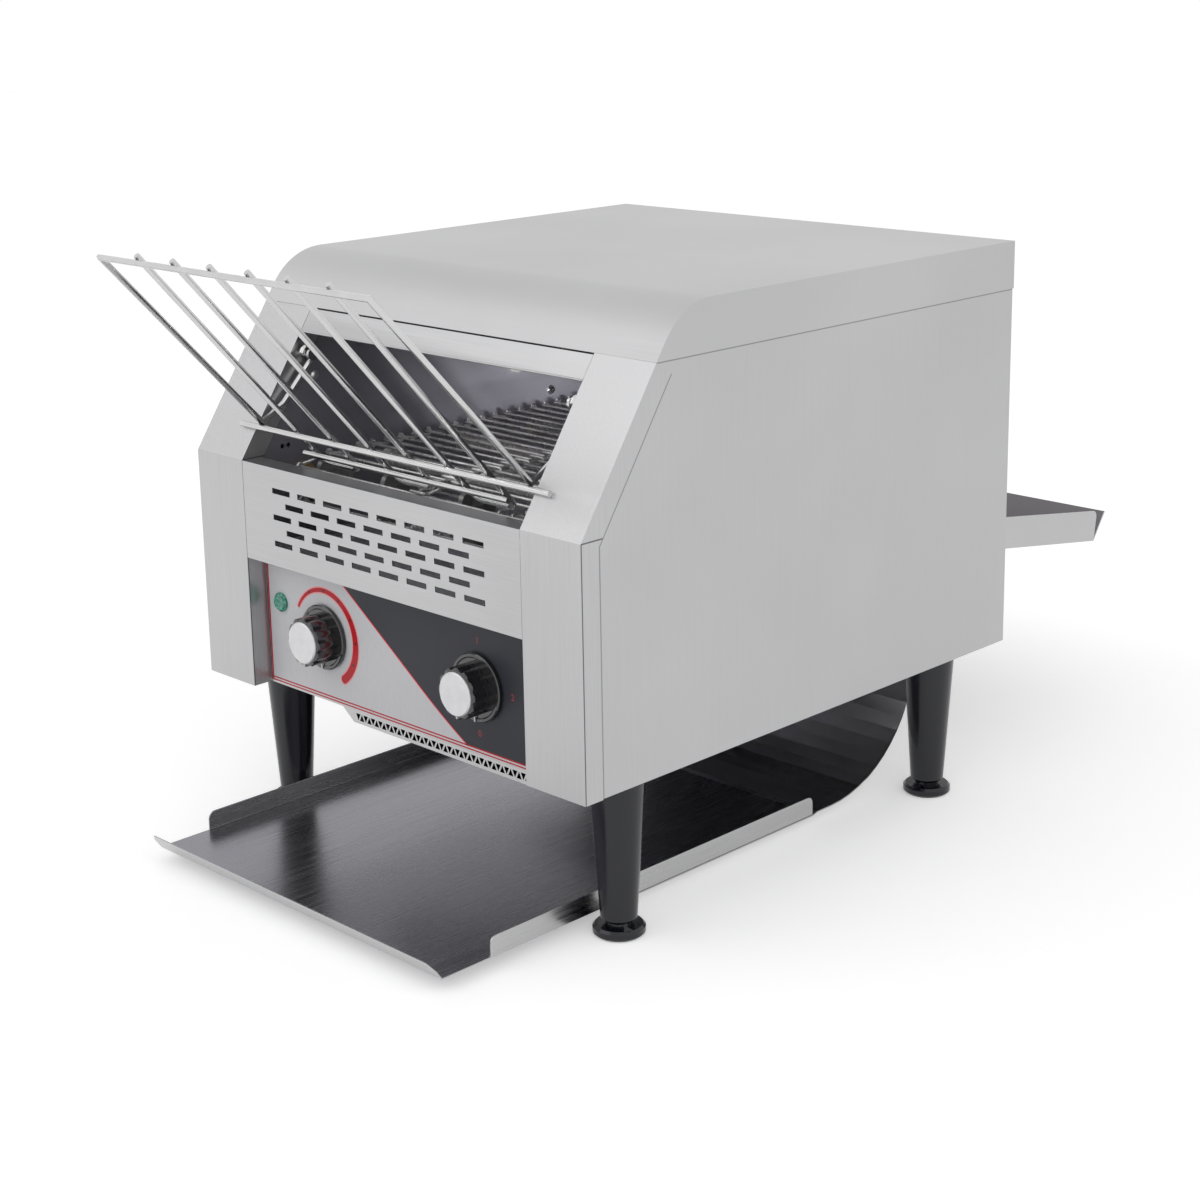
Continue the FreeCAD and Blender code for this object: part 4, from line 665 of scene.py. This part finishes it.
def strip(start, end, width):
    # The outline of a straight line of a given width.
    start = Vector(start)
    end = Vector(end)
    side = (end - start).normalized().orthogonal() * width / 2
    return [start + side, end + side, end - side, start - side]


diagonal_top = (-58.8, label_top)
diagonal_foot = (61.5, 4.6)
edge_line = 1.5
foot_line = 0.9
foot_line_gap = 1.1
border_steps = 12
border_ease_start = 0.72
border_ease_out = 5.0
border_ease_down = 0.6
pink_edge = -1.9
red_edge = -0.7
dark_edge = 0.5


def curved_diagonal(offset=0.0):
    # The border between silver and charcoal: nearly straight, easing out at its foot.
    top = Vector(diagonal_top)
    foot = Vector(diagonal_foot)
    points = []
    for i in range(border_steps + 1):
        share = i / border_steps
        spot = top.lerp(foot, share)
        ease = (max(0.0, share - border_ease_start) / (1 - border_ease_start)) ** 2
        points.append((spot.x + offset + border_ease_out * ease, spot.y - border_ease_down * ease))
    return points


scale_radius = 31.4
scale_start = 152
scale_end = -55
scale_thin = 1.7
scale_thick = 5.6
scale_steps = 44
scale_end_steps = 9
scale_growth = 1.25
scale_rim = 0.9
scale_dot = 0.95


def scale_outline(extra=0.0):
    # A band that widens as it goes round the speed knob, with a round thick end.
    knob_x, _, knob_z = axis_of("speed_knob")
    outer = []
    inner = []
    for i in range(scale_steps + 1):
        share = i / scale_steps
        a = math.radians(scale_start + (scale_end - scale_start) * share)
        half = (scale_thin + (scale_thick - scale_thin) * min(1.0, share * scale_growth)) / 2 + extra
        for line, radius in ((outer, scale_radius + half), (inner, scale_radius - half)):
            line.append((knob_x + radius * math.cos(a), knob_z + radius * math.sin(a)))
    half = scale_thick / 2 + extra
    end = math.radians(scale_end)
    middle = (knob_x + scale_radius * math.cos(end), knob_z + scale_radius * math.sin(end))
    round_end = []
    for i in range(1, scale_end_steps):
        a = end - math.pi * i / scale_end_steps
        round_end.append((middle[0] + half * math.cos(a), middle[1] + half * math.sin(a)))
    return outer + round_end + list(reversed(inner))


def disc(x, z, radius, count=20):
    angles = [math.tau * i / count for i in range(count)]
    return [(x + radius * math.cos(a), z + radius * math.sin(a)) for a in angles]


def print_number(text, x, z, height, material):
    # A plain number, centred on its place and standing on the label.
    letters = bpy.data.curves.new("dial_number_" + text, "FONT")
    letters.body = text
    letters.size = metres(height)
    letters.align_x = "CENTER"
    letters.align_y = "CENTER"
    letters.extrude = metres(ink / 2)
    piece = bpy.data.objects.new("dial_number_" + text, letters)
    letters.materials.append(material)
    upright = Matrix.Rotation(math.pi / 2, 4, "X")
    piece.matrix_world = Matrix.Translation(place(x, label_face - number_lift, z)) @ upright
    bpy.context.scene.collection.objects.link(piece)
    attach(piece, "housing")


number_height = 6.0
number_lift = 1.8 * ink
dial_numbers = (("1", 0.0, 29.5), ("2", 30.5, 0.0), ("0", 0.0, -30.5))
scale_dot_shares = (0.16, 0.3, 0.44, 0.58, 0.72, 0.86)


def print_label():
    border = curved_diagonal()
    dark = border + [(label_right, border[-1][1]), (label_right, label_top)]
    print_shape("label_dark_field", dark, label_dark, 1)
    line = curved_diagonal(red_edge)
    print_shape("label_border_pink", curved_diagonal(pink_edge) + list(reversed(line)), label_pink, 1)
    print_shape("label_border_red", line + list(reversed(curved_diagonal(dark_edge))), label_red, 2)
    left = label_left + edge_line / 2
    print_shape("label_left_line", strip((left, label_bottom), (left, label_top), edge_line), label_red, 1)
    start = label_left + edge_line
    low = label_bottom + foot_line / 2
    high = low + foot_line + foot_line_gap
    print_shape("label_low_line", strip((start, low), (label_right, low), foot_line), label_red, 1)
    print_shape("label_high_line", strip((start, high), (label_right, high), foot_line), label_red, 2)
    print_shape("scale_outline", scale_outline(scale_rim), label_pink, 1)
    print_shape("scale_band", scale_outline(), label_red, 2)
    knob_x, _, knob_z = axis_of("speed_knob")
    for number, share in enumerate(scale_dot_shares, 1):
        a = math.radians(scale_start + (scale_end - scale_start) * share)
        x = knob_x + scale_radius * math.cos(a)
        z = knob_z + scale_radius * math.sin(a)
        print_shape(f"scale_dot_{number}", disc(x, z, scale_dot), label_ink, 3)
    power_x, _, power_z = axis_of("power_knob")
    for text, dx, dz in dial_numbers:
        print_number(text, power_x + dx, power_z + dz, number_height, mark_red)


# The knobs: a stepped skirt and a grip with twelve lobes
lobe_count = 12
lobe_depth = 1.3
lobe_sharpness = 1.6
knob_steps = 144
grip_share = 0.75
cap_share = 0.64
grip_foot = 2.4
skirt_height = 3.6
# The skirt's heights with its radius as a share of the knob's.
skirt_layers = ((0.0, 1.0), (2.2, 1.0), (2.9, 0.97), (3.0, 0.9), (grip_foot, 0.86), (grip_foot, 0.7))
# The grip's top edge: how far below the top, how far inside the grip, and its share of the lobes.
edge_layers = ((0.9, 0.0, 1.0), (0.2, 0.6, 0.8), (0.0, 1.3, 0.4))
grip_face_share = 0.6
mark_width = 1.1
grip_mark_gap = 0.9
skirt_mark_start = 1.4
skirt_mark_gap = 0.5


def fluted_knob(node):
    x, _, z = axis_of(node)
    low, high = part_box(node)
    front = (low.y - front_face) / MM
    back = (high.y - front_face) / MM
    radius = (high.x - low.x) / 2 / MM
    grip = radius * grip_share
    length = back - front
    layers = [(height, radius * share, 0.0) for height, share in skirt_layers]
    layers.append((grip_foot, grip, lobe_depth))
    layers += [(length - below, grip - inside, lobe_depth * share) for below, inside, share in edge_layers]
    layers.append((length, grip * grip_face_share, 0.0))
    work = bmesh.new()
    rings = []
    for height, size, lobe in layers:
        ring = []
        for i in range(knob_steps):
            a = math.tau * i / knob_steps
            reach = size - lobe * (0.5 - 0.5 * math.cos(lobe_count * a)) ** lobe_sharpness
            spot = place(x + reach * math.cos(a), back - height, z + reach * math.sin(a))
            ring.append(work.verts.new(spot))
        rings.append(ring)
    for first, second in zip(rings, rings[1:]):
        for i in range(knob_steps):
            j = (i + 1) % knob_steps
            work.faces.new((first[i], first[j], second[j], second[i]))
    work.faces.new(rings[0])
    work.faces.new(rings[-1])
    bmesh.ops.recalc_face_normals(work, faces=work.faces)
    mesh = bpy.data.meshes.new(node + "_fluted")
    work.to_mesh(mesh)
    work.free()
    for face in mesh.polygons:
        face.use_smooth = True
    mesh.set_sharp_from_angle(angle=sharp_angle)
    body = body_with(node)
    piece = show(node + "_fluted", mesh, finishes["knob_plastic"], body)
    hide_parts(node)


def knob_marks(name, body):
    # A white line on the grip's face and one on the skirt, below the cap.
    x, _, z = axis_of(name)
    low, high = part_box(name)
    front = (low.y - front_face) / MM
    back = (high.y - front_face) / MM
    radius = (high.x - low.x) / 2 / MM
    grip = radius * grip_share
    cap = radius * cap_share
    on_grip = strip((x, z - cap), (x, z - grip + grip_mark_gap), mark_width)
    on_skirt = strip((x, z - grip - skirt_mark_start), (x, z - radius + skirt_mark_gap), mark_width)
    print_shape(name + "_grip_mark", on_grip, mark_white, 1, body, front)
    print_shape(name + "_skirt_mark", on_skirt, mark_white, 1, body, back - skirt_height)


# Floor and light
floor_half = 8.0
floor_glow = 0.36
world_light = 0.68
key_place = (-1500, -1900, 2300)
key_size = 2.2
key_power = 11
fill_place = (2300, -900, 1500)
fill_size = 2.4
fill_power = 7
mouth_place = (620, -650, 222)
mouth_aim = (-134, 262, 178)
mouth_power = 46
mouth_cone = 8.5
mouth_blend = 0.6
mouth_softness = 45
lamp_aim = (0, 200, 100)


def floor_material():
    looks = Looks("pale_floor", 0.0, 0.9)
    spots = looks.noise(3, detail=2)
    looks.base(looks.colours(spots, [(0.3, (0.93, 0.93, 0.93)), (0.7, (0.95, 0.95, 0.95))]))
    looks.shader.inputs["Specular IOR Level"].default_value = 0.0
    path = looks.tree.nodes.new("ShaderNodeLightPath")
    nearer = looks.tree.nodes.new("ShaderNodeMath")
    nearer.operation = "MAXIMUM"
    looks.join(path.outputs["Is Camera Ray"], nearer.inputs[0])
    looks.join(path.outputs["Is Glossy Ray"], nearer.inputs[1])
    any_ray = looks.tree.nodes.new("ShaderNodeMath")
    any_ray.operation = "MAXIMUM"
    looks.join(nearer.outputs[0], any_ray.inputs[0])
    looks.join(path.outputs["Is Transmission Ray"], any_ray.inputs[1])
    looks.shader.inputs["Emission Color"].default_value = (1, 1, 1, 1)
    glow = looks.spread(any_ray.outputs[0], 0.0, floor_glow, 0.0, 1.0)
    looks.join(glow, looks.shader.inputs["Emission Strength"])
    return looks.material


def make_stage():
    mesh = bpy.data.meshes.new("floor")
    signs = ((-1, -1), (1, -1), (1, 1), (-1, 1))
    mesh.from_pydata([(x * floor_half, y * floor_half, 0.0) for x, y in signs], [], [(0, 1, 2, 3)])
    floor = bpy.data.objects.new("floor", mesh)
    mesh.materials.append(floor_material())
    bpy.context.scene.collection.objects.link(floor)


def make_world():
    world = bpy.data.worlds.new("studio")
    bpy.context.scene.world = world
    world.use_nodes = True
    tree = world.node_tree
    back = tree.nodes["Background"]
    path = tree.nodes.new("ShaderNodeLightPath")
    seen = tree.nodes.new("ShaderNodeMath")
    seen.operation = "MAXIMUM"
    tree.links.new(path.outputs["Is Camera Ray"], seen.inputs[0])
    tree.links.new(path.outputs["Is Glossy Ray"], seen.inputs[1])
    any_ray = tree.nodes.new("ShaderNodeMath")
    any_ray.operation = "MAXIMUM"
    tree.links.new(seen.outputs[0], any_ray.inputs[0])
    tree.links.new(path.outputs["Is Transmission Ray"], any_ray.inputs[1])
    level = tree.nodes.new("ShaderNodeMapRange")
    level.inputs["To Min"].default_value = world_light
    level.inputs["To Max"].default_value = 1.0
    tree.links.new(any_ray.outputs[0], level.inputs["Value"])
    tree.links.new(level.outputs["Result"], back.inputs["Strength"])
    back.inputs["Color"].default_value = (1, 1, 1, 1)


def aim_lamp(name, data, spot, target):
    lamp = bpy.data.objects.new(name, data)
    lamp.location = place(*spot)
    aim = place(*target) - lamp.location
    lamp.rotation_mode = "QUATERNION"
    lamp.rotation_quaternion = aim.to_track_quat("-Z", "Y")
    bpy.context.scene.collection.objects.link(lamp)


def add_lamp(name, spot, size, power):
    data = bpy.data.lights.new(name, "AREA")
    data.size = size
    data.energy = power
    aim_lamp(name, data, spot, lamp_aim)


def add_mouth_light():
    # A narrow light that reaches through the mouth onto the far inner wall.
    data = bpy.data.lights.new("mouth_light", "SPOT")
    data.energy = mouth_power
    data.spot_size = math.radians(mouth_cone)
    data.spot_blend = mouth_blend
    data.shadow_soft_size = metres(mouth_softness)
    aim_lamp("mouth_light", data, mouth_place, mouth_aim)


dress_nodes()
for node, edge in formed_nodes.items():
    formed(node, edge)
for node, angle in smoothed_nodes.items():
    smoothed(node, angle)
conveyor_belt()
print_label()
for knob, body in (("speed_knob", "speed_knob_set"), ("power_knob", "power_knob_set")):
    fluted_knob(knob)
    knob_marks(knob, body)
make_stage()
make_world()
add_lamp("key", key_place, key_size, key_power)
add_lamp("fill", fill_place, fill_size, fill_power)
add_mouth_light()
make_camera()
bpy.context.scene.view_settings.view_transform = "Standard"
